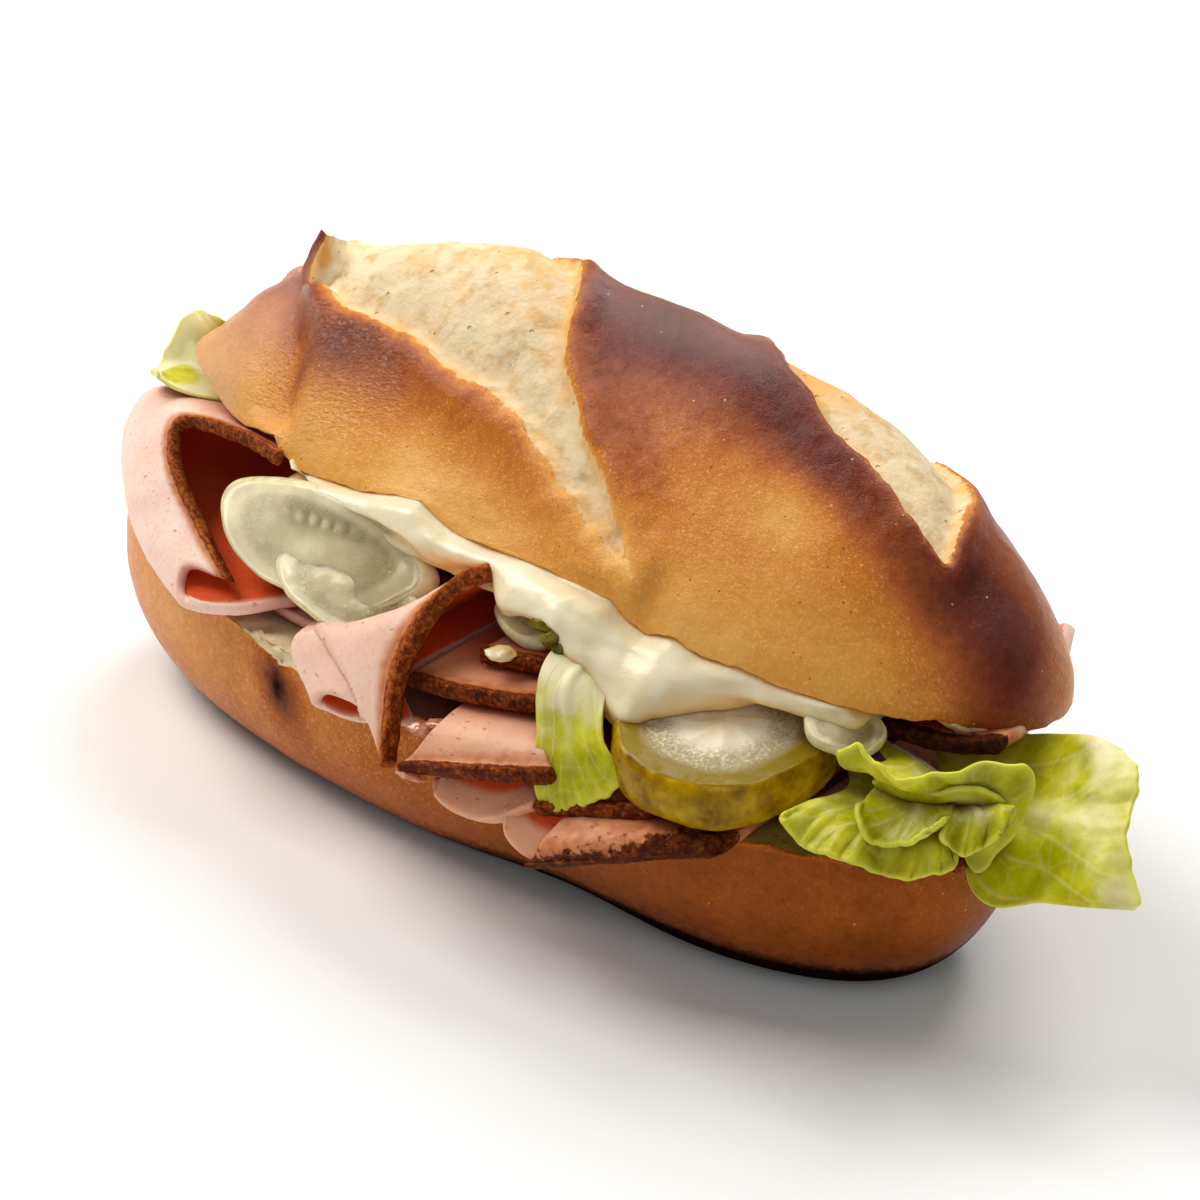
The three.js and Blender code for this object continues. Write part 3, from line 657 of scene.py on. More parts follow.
# Painted shade on the lower cut face under the filling, between these places along the roll
SOAK_FROM = -26
SOAK_TO = 56
BURN = {"at": (-31.0, -36.0, 22.9), "heading": (0.45, 0.1, -0.89), "long": 7.0, "across": 4.2}
TORN_RIM = {"from": -42, "to": -20, "deep": 3.4, "sunk": 0.7}


def bottom_ring(height, size):
    plan = BOTTOM_PLAN
    x, y = plan_ring(plan, BOTTOM_COLUMNS)
    inset = (1 - size) * plan["width"] * END_DRAW_IN
    px = x * (1 - inset / plan["length"])
    fade = 1 - (1 - WAIST["share_at_cut"]) * height / BOTTOM_HEIGHT
    waist = WAIST["depth"] * bell(px - WAIST["x"], WAIST["spread"]) * fade
    py = y * size + waist * clamp01(-y / plan["width"])
    return np.stack([px, py + BOTTOM_CENTRE_Y, np.full_like(px, height)], 1)


def burn_amount(points):
    """How strongly the burnt spot on the front covers each point; its edge is uneven."""
    away = points + drift(points, 4, 71, 2) - BURN["at"]
    along = away @ unit(np.array(BURN["heading"], float))
    across = np.sqrt(np.maximum((away ** 2).sum(1) - along ** 2, 0))
    return np.exp(-((along / BURN["long"]) ** 2) - (across / BURN["across"]) ** 2)


def torn_rim(points, near_cut):
    """Where the crust is torn off along the front rim, 1 in the middle of the tear and 0 outside it."""
    x = points[:, 0]
    window = smooth(TORN_RIM["from"], TORN_RIM["from"] + 6, x)
    window = window * smooth(TORN_RIM["to"], TORN_RIM["to"] - 6, x)
    reach = TORN_RIM["deep"] * (0.7 + 0.6 * rough(points, 4, 3, 77)) * window
    return smooth(0, 1.2, reach - near_cut) * (points[:, 1] < 0)


def bottom_half():
    side = spline_weights(len(BOTTOM_SIDE), np.linspace(0, 1, SIDE_RINGS)) @ np.array(BOTTOM_SIDE, float)
    base = [(0, BOTTOM_SIDE[0][1] * share) for share in BASE_SHARES]
    rings = [bottom_ring(height, size) for height, size in base + side.tolist()]
    rim = bottom_ring(BOTTOM_HEIGHT, BOTTOM_SIDE[-1][1])
    centre = np.array([0, BOTTOM_CENTRE_Y, BOTTOM_HEIGHT])
    inward = np.concatenate([[0.994, 0.987], np.linspace(0.975, 0.02, CUT_RINGS - 2)])
    for share in inward:
        rings.append(centre + (rim - centre) * share)
    rings = np.array(rings)
    count = len(rings)
    flat = rings.reshape(-1, 3)
    out = unit(flat - [0, BOTTOM_CENTRE_Y, MIDDLE_HEIGHT]) * [0.6, 1, 0.5]
    on_side = np.repeat(np.arange(count) < len(base) + len(side), BOTTOM_COLUMNS)
    lift = rough(flat, 26, 2, 3) * 0.55 + rough(flat, 7, 2, 9) * 0.12
    standing = smooth(0.5, 6, flat[:, 2])
    near_cut = BOTTOM_HEIGHT - flat[:, 2]
    torn_off = torn_rim(flat, near_cut) * on_side
    lift = lift - torn_off * (TORN_RIM["sunk"] + 0.5 * rough(flat, 2, 2, 79))
    moved = flat + out * (lift * standing * on_side)[:, None]
    share_in = np.zeros(count)
    share_in[-CUT_RINGS:] = (1 - inward) * BOTTOM_PLAN["width"]
    share_in = np.repeat(share_in, BOTTOM_COLUMNS)
    crumb = rough(flat, 5, 3, 21) * 0.5 - 0.5 * smooth(0, 3, share_in)
    moved[:, 2] += np.where(on_side, 0, crumb)
    torn = rough(flat, 3, 2, 27) * 0.35
    torn *= smooth(BOTTOM_HEIGHT - 1.5, BOTTOM_HEIGHT, flat[:, 2])
    moved[:, 2] += torn * smooth(2.5, 0, share_in)
    points, faces = closed_rings(moved.reshape(rings.shape))

    edge = np.where(on_side, 30.0, CUT_CRUST - share_in)
    edge = np.where(on_side & (near_cut < 6), np.minimum(edge, near_cut + CUT_CRUST), edge)
    edge = np.where(torn_off > 0, np.minimum(edge, 0.6 - 1.8 * torn_off), edge)
    # The crust darkens towards the right end and the bottom: partly deeper bake, partly painted shade
    # where the light from the upper left falls off; the char near the bottom at the right is partly
    # painted shade too
    under = smooth(9, 0, flat[:, 2])
    right = smooth(-75, 70, flat[:, 0])
    burn = burn_amount(flat)
    bake = 0.2 + 0.42 * right + 0.4 * under + 0.12 * smooth(22, 8, flat[:, 2])
    bake += 0.1 * smooth(0, 40, flat[:, 1]) + 0.6 * burn
    char = 0.9 * burn ** 4 + smooth(12, 3, flat[:, 2]) * (0.15 + 1.3 * smooth(-30, 50, flat[:, 0]))
    x = flat[:, 0]
    stain = np.where(on_side, 0, 0.85 * smooth(STAIN_FROM, STAIN_FULL, x))
    # Painted red-brown shade on the lower cut face, under the filling
    soak = 0.85 * smooth(SOAK_FROM, SOAK_FROM + 12, x) * smooth(SOAK_TO, SOAK_TO - 12, x)
    soak = np.where(on_side, 0, soak)
    fields = {
        "edge": edge, "bake": bake, "char": char, "toast": 0.1 * on_side, "stain": stain, "soak": soak,
        "shut": SHUT_AMOUNT * smooth(*SHUT_REACH, share_in),
    }
    make_piece("lower_roll_half", points, faces, capped(fields), "lower_crust", ["bun_bottom"])


# The upper half of the roll, worked out in its own frame with the cut face at z = 0
TOP_COLUMNS = 520
TOP_RINGS = 128
UNDER_RINGS = 26
HALVINGS = 30

# Crumb laid open by the baker's cuts: outlines in the plan, from the front tip round
OPENINGS = [
    {
        "outline": [
            (27, -29), (7, -25), (-9, -21), (-27, -19), (-37, -16.5), (-44, -15.5), (-50, -15),
            (-56, -12.5), (-61, -9.5), (-66.5, -4.5), (-76, 5), (-80, 15), (-60, 18), (-36, 15),
            (-20, 6), (-12, -1), (-8, -7), (-4, -13), (3, -18), (12, -22), (23, -27),
        ],
        "depth": 2.2, "swell": 4.6, "reach": 13, "lip": 1.5,
    },
    {
        "outline": [
            (69, -8), (54, -6), (43, -5), (33, -1), (27, 2), (14, 14), (4, 30),
            (22, 30), (40, 23), (57, 12), (63, 6), (67, -2),
        ],
        "depth": 2.2, "swell": 1.8, "reach": 9, "lip": 1.2,
    },
    {
        "outline": [(-70, -1), (-76, 3), (-84, 16), (-80, 20), (-72, 10)],
        "depth": 1.6, "swell": 0.5, "reach": 5, "lip": 0.6,
    },
]
CREASE = {"start": (-68, -8), "end": (-51, -27), "half": 3, "depth": 2.6}
EAR = {"at": (-66.5, -9), "along": 5.5, "across": 3, "heading": 130, "height": 0.3}
PITS = [
    (-36, -5, 1.8, 0.5), (-33, -7, 2.0, 0.9), (-29.5, -9.5, 1.8, 0.9), (-12, -17, 2.2, 0.7),
    (-2, -19, 1.7, 0.9), (2, -21, 1.2, 0.6), (12, -24, 1.4, 0.5), (-20, -12, 1.2, 0.4),
]
SWELLINGS = [
    (-84, -9, 5, -1.6), (-70, -2, 5, -2.2), (-20, 5, 4, -0.8), (-5, 9, 6, -3.8), (4, 9, 6, -3.2),
    (14, 10, 5, -3.0), (30, -6, 7, 0.6),
]
CRUMB_SWELLINGS = [
    (-63, -1, 4, 2.2), (-59, 5, 4, -2.2), (-50, 3, 8, -1.4), (-35, 5, 7, -1.2), (-24, 8, 6, 1.0),
]

# The cut edge of the upper half, how far it lies above the flat cut face, at places along the roll
EDGE_LIFT = [
    (-89, 4.5), (-80, 4.5), (-72, 4.0), (-66, 2.4), (-60, 1.4), (-54, 2.3), (-49.5, 3.0), (-47.5, 0.8),
    (-42, 0.2), (-33, 1.3), (-26, 2.4), (-18, 4.6), (-13.6, 5.4), (-10, 4.2), (-6, 3.2), (1, 2.8),
    (9, 3.8), (17, 3.8), (26, 3.6), (29, 1.6), (33, 0.6), (38.6, 1.5), (43, 0.4), (49, 0.7), (55, 0),
    (76, 0), (79, 0.8), (81, 1.6), (84, 1.4), (86.5, 0.4), (89, -0.6),
]
LIFT_REACH = 12
TORN = {"at": (25, 4), "spread": 10, "amount": 0.8}
WET = {"at": (-44, -18), "long": 13, "across": 8}
LIP = {"from": 78, "to": 90, "hang": 1.5, "fade": 5}

# Soft patches of darker (above 0) or lighter (below 0) crust: plan place, spreads and amount; the two
# small ones on the crease are painted shade
BAKE_PATCHES = [
    (2, -3, 12, 8, 0.34),
    (18, -5, 14, 8, 0.3),
    (40, -7, 16, 7, 0.26),
    (-52, -15, 10, 5, 0.05),
    (-75, -8, 8, 7, 0.12),
    (-34, -21, 12, 5, 0.14),
    (62, -12, 10, 8, 0.06),
    (80, -8, 12, 12, 0.42),
    (86, -3, 8, 14, 0.3),
    (46, -17, 8, 4, -0.36),
    (30, -18, 9, 5, -0.14),
    (36, -26, 9, 4, -0.06),
    # Painted shade in the crease
    (-59, -16, 3, 6, 0.14),
    (-48, -19, 7, 4, 0.12),
    # Painted shade at the crease's low end
    (-52.5, -24, 3, 3, 0.25),
    (-20, -26, 14, 6, -0.06),
]


def dome_level(x, y):
    """Level of the dome over plan points, 0 at the cut edge and 1 at the crown, found by halving."""
    plan = TOP_PLAN
    power = np.where(y < 0, TOP_DOME["front"], TOP_DOME["back"])
    low, high = np.zeros(len(x)), np.ones(len(x))
    for _ in range(HALVINGS):
        level = (low + high) / 2
        width = plan["width"] * (1 - level ** power) ** (1 / power)
        length = plan["length"] * (1 - level ** TOP_DOME["along"]) ** (1 / TOP_DOME["along"])
        reach = np.abs(x / length) ** plan["power"] + np.abs(y / width) ** plan["power"]
        low = np.where(reach < 1, level, low)
        high = np.where(reach < 1, high, level)
    return low


def edge_lift(x):
    """How far the front cut edge lies above the flat cut face at places along the roll."""
    places, lifts = np.array(EDGE_LIFT).T
    return np.interp(x, places, lifts)


def crust_relief(x, y):
    """Height of the crust relief over plan points, and the distance to the nearest opening's edge."""
    flat = np.stack([x, y, np.zeros_like(x)], 1)
    wander = lattice_noise(flat, 6, 31) * 0.8 + rough(flat, 2.2, 2, 33) * 0.3
    relief = np.zeros_like(x)
    nearest = np.full_like(x, 60.0)
    for opening in OPENINGS:
        edge = outline_distance(rounded(opening["outline"]), x, y) + wander
        inside = clamp01(-edge / opening["reach"])
        relief -= opening["depth"] * (1 - smooth(-1.0, 0.3, edge))
        relief += opening["swell"] * (1 - (1 - inside) ** 2)
        relief += opening["lip"] * bell(edge - 1.4, 2.2)
        nearest = np.minimum(nearest, edge)
    from_crease = segment_distance(x, y, CREASE["start"], CREASE["end"])
    relief -= CREASE["depth"] * bell(from_crease, CREASE["half"])
    heading = math.radians(EAR["heading"])
    dx, dy = x - EAR["at"][0], y - EAR["at"][1]
    along = (dx * math.cos(heading) + dy * math.sin(heading)) / EAR["along"]
    across = (dx * math.sin(heading) - dy * math.cos(heading)) / EAR["across"]
    relief += EAR["height"] * np.exp(-np.sqrt(along ** 2 + across ** 2 + 0.02))
    relief += bumps(x, y, SWELLINGS)
    crumb = rough(flat, 9, 2, 12) * 0.3 + rough(flat, 2.6, 2, 14) * 0.08
    crumb += bumps(x, y, CRUMB_SWELLINGS) - bumps(x, y, PITS)
    relief += crumb * smooth(0, -2, nearest)
    return relief, nearest


def top_bake(points, nearest):
    x, y, z = points.T
    bake = 0.14 + 0.36 * smooth(3, 24, z)
    for px, py, wide, deep, amount in BAKE_PATCHES:
        bake += amount * np.exp(-((x - px) / wide) ** 2 - ((y - py) / deep) ** 2)
    behind = smooth(2, 14, y)
    bake += 0.12 * behind * smooth(0, 12, z)
    bake += 0.1 * bell(nearest - 4, 3.5)
    return bake


def placed_top(points):
    """Points of the upper half's own frame, tilted and put where it lies on the filling."""
    return points @ (rotation(0, TOP_TILT) @ rotation(1, TOP_PITCH)).T + TOP_PLACE


def top_half():
    plan = TOP_PLAN
    px, py = plan_ring(plan, TOP_COLUMNS)
    under = np.concatenate([np.linspace(0.02, 0.96, UNDER_RINGS - 3), [0.975, 0.985, 0.993]])
    over = np.cos(np.linspace(0, 0.985, TOP_RINGS) * math.pi / 2)
    sizes = np.concatenate([under, over])
    x = (sizes[:, None] * px).ravel()
    y = (sizes[:, None] * py).ravel()
    on_top = np.repeat(np.arange(len(sizes)) >= UNDER_RINGS, TOP_COLUMNS)
    size = np.repeat(sizes, TOP_COLUMNS)
    level = np.where(on_top & (size < 1), dome_level(x, y), 0)
    points = np.stack([x, y, level * TOP_HEIGHT], 1)
    upward = points[:, 2] / TOP_HEIGHT ** 2 + 0.25 / TOP_HEIGHT
    normal = unit(np.stack([x / plan["length"] ** 2, y / plan["width"] ** 2, upward], 1))
    relief, nearest = crust_relief(x, y)
    relief += rough(points, 24, 2, 5) * 0.6 + rough(points, 6, 2, 15) * 0.12
    moved = points + normal * (relief * smooth(0, 0.12, level) * on_top)[:, None]

    inset = (1 - size) * plan["width"]
    crumb = -0.9 * smooth(0.3, 3.5, inset) + rough(points, 4.5, 3, 44) * 0.4
    moved[:, 2] += np.where(on_top, 0, crumb)
    ragged = lattice_noise(points, 5, 61) * 0.5 + rough(points, 1.8, 2, 63) * 0.25
    moved[:, 2] += ragged * smooth(0.9, 1, size) * smooth(0.1, 0, level)
    front = smooth(10, 0, y)
    rise = edge_lift(x) * front
    height = np.where(on_top, points[:, 2], inset)
    moved[:, 2] += rise * clamp01(1 - height / LIFT_REACH) ** 1.5
    lip = smooth(LIP["from"], LIP["from"] + 4, x) * smooth(LIP["to"] + 3, LIP["to"], x) * front
    drop = lip * (LIP["hang"] + rise + 0.5 * lattice_noise(points, 4, 65)) * smooth(0, 0.5, inset)
    moved[:, 2] -= np.where(on_top, 0, drop * smooth(LIP["fade"], 1, inset))

    edge = np.where(on_top, np.minimum(nearest, 30), 0.7 - inset - drop)
    bake = top_bake(points, nearest)
    torn = TORN["amount"] * bell(np.hypot(x - TORN["at"][0], y - TORN["at"][1]), TORN["spread"])
    toast = np.where(on_top, 0.3 * bell(nearest, 1.6) + 0.16 * smooth(24, 38, points[:, 2]) + torn, 0)
    wet = bell(x - WET["at"][0], WET["long"]) * bell(y - WET["at"][1], WET["across"])
    wet = wet * on_top * smooth(0, 2.5, nearest)
    # Grey painted sheen over the crown and the far right end; over the left end the grey is partly
    # painted sheen and partly a dull bloom
    veil = 0.36 * smooth(-56, -68, x) * smooth(4, -4, y)
    veil += 0.24 * smooth(34, 39, points[:, 2]) * smooth(-14, -6, x)
    veil += 0.12 * smooth(72, 84, x) * smooth(8, 20, points[:, 2])
    # Painted shade on the upper half's cut face, darker further in from its edge
    shut = np.where(on_top, 0, SHUT_AMOUNT * smooth(*SHUT_REACH, inset))
    fields = {"edge": edge, "bake": bake, "toast": toast, "wet": wet, "shut": shut}
    fields["veil"] = veil * on_top
    rings = placed_top(moved).reshape(len(sizes), TOP_COLUMNS, 3)
    points, faces = closed_rings(rings)
    make_piece("upper_roll_half", points, faces, capped(fields), "upper_crust", ["bun_top"])


# The flap that stands up at the far end of the first opening, crust at its left edge: from its tip down
EAR_FLAP = [
    [(-57.6, 5.0, 82.7), (-57.2, 6.3, 81.2), (-58.8, 10.0, 78.7), (-59.9, 13.5, 76.5)],
    [(-58.9, 4.7, 79.8), (-57.0, 5.0, 79.6), (-57.9, 8.5, 77.4), (-57.9, 11.6, 75.8)],
    [(-60.2, 4.6, 76.9), (-57.3, 4.2, 77.2), (-56.8, 6.8, 75.9), (-55.3, 8.8, 75.5)],
    [(-60.8, 4.2, 74.2), (-56.9, 3.0, 74.8), (-55.3, 4.4, 74.3), (-53.7, 6.2, 73.8)],
    [(-60.4, 4.2, 69.8), (-56.6, 3.0, 70.2), (-54.8, 4.2, 70.0), (-53.2, 5.6, 69.6)],
]
EAR_THICKNESS = 1.5
EAR_CRUST = 0.2
EAR_COLUMNS = 36
EAR_ROWS = 44


def ear_flap():
    across, down = np.linspace(0, 1, EAR_COLUMNS), np.linspace(0, 1, EAR_ROWS)
    grid = loft(EAR_FLAP, across, down)
    half = EAR_THICKNESS / 2 * (0.35 + 0.65 * smooth(0, 0.4, down[:, None]))
    points, faces, source, _ = sheet_shell(grid, np.broadcast_to(half, grid.shape[:2]))
    points = points + drift(points, 3.5, 81) * 0.3
    high = smooth(72, 80, points[:, 2])
    column = np.tile(across, EAR_ROWS)[source]
    # The ear carries a little grey painted sheen
    fields = {
        "edge": 14 * (EAR_CRUST - column), "bake": 0.62 + 0.12 * high, "veil": np.full(len(high), 0.12),
        "toast": 0.05 + 0.45 * smooth(0.55, 0.2, column),
    }
    make_piece("crust_ear", points, faces, fields, "upper_crust")


# Heights and edges that the filling follows
END_SHARE = 0.98


def cut_face_height(x, y):
    place = TOP_PLACE
    return place[2] + (y - place[1]) * math.tan(TOP_TILT) - (x - place[0]) * math.tan(TOP_PITCH)


def plan_edge(plan, x):
    share = np.minimum(END_SHARE, np.abs(x / plan["length"]))
    return plan["width"] * (1 - share ** plan["power"]) ** (1 / plan["power"])


def top_edge(x, side):
    return TOP_PLACE[1] + side * plan_edge(TOP_PLAN, x - TOP_PLACE[0]) * math.cos(TOP_TILT)


def back_edge(x, level, jut):
    low = BOTTOM_CENTRE_Y + plan_edge(BOTTOM_PLAN, x)
    high = top_edge(x, 1)
    share = clamp01((level - BOTTOM_HEIGHT) / (cut_face_height(x, high) - BOTTOM_HEIGHT))
    return low + (high - low) * share + jut


def run_through(front_rows, level, jut, spread=1):
    """Rows of a slice that shows its front rows and then runs level through the food to the back."""
    last = front_rows[-1]
    middle = (last[0][0] + last[-1][0]) / 2
    xs = [middle + (p[0] - middle) * spread for p in last]
    back = [(x, float(back_edge(x, level, jut)), level) for x in xs]
    inside = [(x, (p[1] + b[1]) / 2, level) for x, p, b in zip(xs, last, back)]
    return [*front_rows, inside, back]


# Share of the mesh points kept on slices that hardly show
HIDDEN_FINE = 0.6

# Slices of meat loaf: rows from the edge that shows to the hidden or far edge, and the rind's side
MEAT = {
    "meat_left_fold": {
        "rows": [
            [(-34, -28, 34.6), (-41, -36, 33.4), (-49.5, -38.6, 33.4), (-52.5, -35, 37),
             (-43, -34.5, 38)],
            [(-36, -18, 34), (-54, -32, 33.2), (-63.5, -32.5, 33.6), (-67, -28, 40), (-57.6, -28, 43)],
            [(-44, -8, 34.5), (-70, -22, 34), (-81, -21, 36), (-79, -19, 44), (-68, -22, 47.2)],
            [(-50, 6, 34.5), (-78, -4, 34.5), (-91, -8, 39), (-88, -7, 46), (-70, -17.5, 51)],
            [(-46, 16, 34.5), (-70, 8, 36), (-80, 4, 41), (-76, -2, 47), (-56, -19.3, 54.4)],
            [(-42, 20, 35), (-58, 14, 38), (-68, 8, 42), (-60, 0, 47.5), (-43, -21.5, 55.4)],
        ],
        "rind": "end", "inside": -1, "bark": 0.3, "smoked": -0.03,
    },
    "meat_cone": {
        "rows": [
            [(3, -45.6, 27), (-4, -43, 32), (-12, -43, 33),
             (-16, -42, 29), (-9, -41, 28), (2, -39, 31)],
            [(0, -39, 39), (-8, -38, 40), (-17, -38, 37.5),
             (-23, -39, 34), (-19, -36, 32), (-6, -33, 32)],
            [(2, -33, 49), (-5, -33, 45), (-14, -34, 39),
             (-23, -35, 36.5), (-21, -31, 34), (-6, -28, 33.5)],
            [(7, -27, 55), (1, -24, 49), (-11, -22, 37.8),
             (-22, -22, 36.5), (-19, -18, 34.5), (-4, -14, 34.4)],
            [(8, -6, 45), (0, 4, 41), (-12, 8, 37.5),
             (-20, 13, 36.5), (-16, 20, 34.6), (-4, 26, 34.6)],
        ],
        "rind": "start", "inside": 1, "layer": (0.2, 0.57), "warm": 0.25, "smoked": -0.06,
    },
    "meat_stack_low": {
        "rows": run_through([
            [(33, -46, 21), (43, -43, 25), (54, -39, 29), (61, -36, 32)],
            [(36, -41, 27.5), (45, -39, 30), (55, -35, 31.8), (62, -31, 31.8)],
        ], 31.6, 3.5),
        "rind": "front", "bark": 1.6, "band": 3.0, "warm": 0.6, "smoked": 0.1,
    },
    "meat_stack_mid": {
        "rows": run_through([
            [(31, -42, 28.5), (42, -39, 31.5), (49, -37, 33.6)],
            [(30, -30, 34), (42, -27, 34.2), (54, -24, 34.2)],
        ], 34.2, 4.5, 1.3),
        "rind": "front", "band": 1.5, "warm": 0.6,
    },
    "meat_flap": {
        "rows": run_through([
            [(6.6, -46, 27.8), (19, -45, 31.6), (33, -41, 35)],
            [(11, -38, 35.5), (20, -36, 37), (29, -34, 37.6)],
        ], 36.8, 0.5, 1.4),
        "rind": "front", "bark": 1.5, "warm": 0.75, "smoked": 0.05,
    },
    "meat_strip": {
        "rows": [
            [(0, -37, 37), (12, -37, 39.5), (25, -34, 41), (32, -29, 41)],
            [(3, -26, 39.4), (13, -26, 40.2), (24, -24, 40.6), (33, -20, 40.6)],
            [(4, 12, 39.4), (14, 14, 39.4), (24, 14, 39.4), (34, 12, 39.4)],
        ],
        "rind": "front", "warm": 0.9, "smoked": 0.04,
    },
    "meat_strip_top": {
        "rows": [
            [(10, -31, 43.2), (20, -29, 44), (29, -25, 44)],
            [(11, -14, 43), (20, -12, 43), (29, -10, 43)],
            [(10, 6, 42.4), (20, 8, 42.4), (30, 6, 42.4)],
        ],
        "rind": "front",
    },
    "meat_curl": {
        "rows": [
            [(12, -43, 27), (12, -44.5, 24.5), (17, -44.5, 23.5), (24, -43.5, 24.5), (30, -41.5, 28.5)],
            [(14, -37, 32), (14, -36, 32), (18, -35, 32), (24, -34, 32.2), (29, -33, 32.2)],
            [(13, -20, 31.8), (16, -18, 31.8), (20, -16, 31.8), (24, -16, 31.8), (30, -16, 31.8)],
        ],
        "rind": "none", "inside": 1, "warm": 0.8, "deep_from": 4,
    },
    "meat_curl_low": {
        "rows": [
            [(25, -43, 26), (27, -44.5, 23), (33, -44.5, 21.5), (38, -42.5, 23.5), (41, -40, 27)],
            [(26, -38, 29.5), (28, -37, 30.6), (32, -36.5, 30.8), (35, -36, 30.8), (38, -35, 30.8)],
        ],
        "rind": "none", "inside": 1, "warm": 0.8, "deep_from": 4,
    },
    "meat_left_low": {
        "rows": run_through([
            [(-70, -20, 31.6), (-50, -26, 31.6), (-26, -29, 31.4), (-6, -24, 31.4)],
        ], 31.6, 4),
        "rind": "back", "fine": HIDDEN_FINE,
    },
    "meat_left_inner": {
        "rows": run_through([
            [(-58, -16, 38.4), (-46, -21, 36.6), (-35, -19, 38.2), (-25.5, -15, 37.4)],
        ], 37.2, 2),
        "rind": "back", "fine": HIDDEN_FINE,
    },
    "meat_left_mid": {
        "rows": run_through([
            [(-48, -12, 42.4), (-34, -16, 43.4), (-20, -16, 42.4)],
        ], 40.1, 1, 1.3),
        "rind": "back", "fine": HIDDEN_FINE,
    },
    "meat_right_low": {
        "rows": run_through([
            [(66, -19, 31.8), (80, -18, 32.4), (91.5, -15, 30.5)],
            [(66, -2, 31.8), (80, -2, 32.4), (91, -3, 32.6)],
        ], 32.2, 3),
        "rind": "end", "fine": HIDDEN_FINE,
    },
    "meat_right_high": {
        "rows": [
            [(66, -10, 45.4), (80, -10, 46.2), (91, -6, 47.4)],
            [(64, 10, 42), (78, 10, 43), (89, 10, 46)],
            [(62, 34, 38), (72, 35, 41.5), (80, 29, 48)],
        ],
        # Its wide dark rind and darker rind colour partly paint the shade it lies in under the upper
        # half
        "rind": "front", "bark": 0.4, "band": 1.8, "smoked": 0.2, "fine": HIDDEN_FINE,
    },
}
MEAT_COLUMNS = 92
MEAT_ROWS = 68
RIND_CROWD = 1.7
LAYER_BACK = 0.52
LAYER_STEP = 1.0
LAYER_EDGE = 0.012


def crowded(count, side):
    """Values from 0 to 1, closer together towards the side that has the rind."""
    even = np.linspace(0, 1, count)
    if side == "low":
        return even ** RIND_CROWD
    if side == "high":
        return 1 - even[::-1] ** RIND_CROWD
    return even


def walked(grid, axis):
    """Length walked over a grid's points along one axis."""
    steps = np.linalg.norm(np.diff(grid, axis=axis), axis=-1)
    zero = np.zeros_like(steps.take([0], axis=axis))
    return np.concatenate([zero, np.cumsum(steps, axis=axis)], axis=axis)


def rind_distance(grid, rind):
    """Distance in millimetres of each grid point from the slice's baked edge."""
    if rind == "none":
        return np.full(grid.shape[:2], 20.0)
    axis = 0 if rind in ("front", "back") else 1
    length = walked(grid, axis)
    if rind in ("front", "start"):
        return length
    return length.take([-1], axis=axis) - length


def meat_slice(name, rows, rind, inside=0, bark=0.8, band=1.0, layer=None,
               warm=0.0, deep_from=0.0, smoked=0.0, fine=1.0):
    """One slice: inside is its side in a fold, bark and band how thick and wide its baked edge is.

    A layer lies doubled from the rind to a place at its front and a place further back. warm
    is how tan painted warm bounce light makes its pink, deep_from how far in the inside of a fold
    is painted red as shade, smoked how much painted shade darkens its rind (below 0 painted
    light lightens it), and fine the share of its mesh points."""
    across = {"start": "low", "end": "high"}.get(rind, "")
    along = {"front": "low", "back": "high"}.get(rind, "")
    t, s = crowded(round(MEAT_COLUMNS * fine), across), crowded(round(MEAT_ROWS * fine), along)
    grid = loft(rows, t, s)
    flat = grid.reshape(-1, 3)
    seed = sum(map(ord, name)) % 90
    grid = (flat + drift(flat, 9, seed) * 0.35).reshape(grid.shape)
    distance = rind_distance(grid, rind) / band
    half = (MEAT_THICKNESS + bark * np.exp(-distance / 1.2)) / 2
    if layer:
        t, s = np.meshgrid(t, s)
        border = layer[0] + (layer[1] - layer[0]) * clamp01(s / LAYER_BACK) + 0.01 * np.sin(9 * s)
        raised = smooth(border + LAYER_EDGE, border - LAYER_EDGE, t) * smooth(1.2, 0.8, s / LAYER_BACK)
        normal = surface_normal(grid)
        grid = grid - inside * normal * LAYER_STEP * raised[..., None] / 2
        half = half + LAYER_STEP * raised / 2
    points, faces, source, turn = sheet_shell(grid, half, 0.5)
    near = np.exp(-distance.ravel()[source] / 1.4)
    crackle = rough(points, 1.2, 3, seed) * 0.2 * near
    soft = rough(points, 3.5, 2, seed + 5) * 0.1
    points = points + unit(points - flat[source] + 1e-6) * (crackle + soft)[:, None]
    # Where the inner side of a fold is painted red as shade, away from the rind and further in
    deep = np.zeros(len(points))
    if inside:
        total = grid.shape[0] * grid.shape[1]
        sides = np.ones(len(points))
        sides[total:2 * total] = -1
        sides[2 * total:] = 0
        deep = smooth(1.2, 3.2, distance.ravel()[source]) * (sides == inside)
        deep *= smooth(deep_from - 0.5, deep_from + 1.5, walked(grid, 0).ravel()[source])
    length = walked(grid, 1 if rind in ("front", "back") else 0)
    fields = {
        "rind": distance.ravel()[source] - 0.4 * turn, "deep": deep,
        "along": length.ravel()[source], "face": turn, "warm": np.full(len(points), warm),
        "smoked": np.full(len(points), smoked),
    }
    make_piece(name + "_slice", points, faces, fields, "meat", [name])


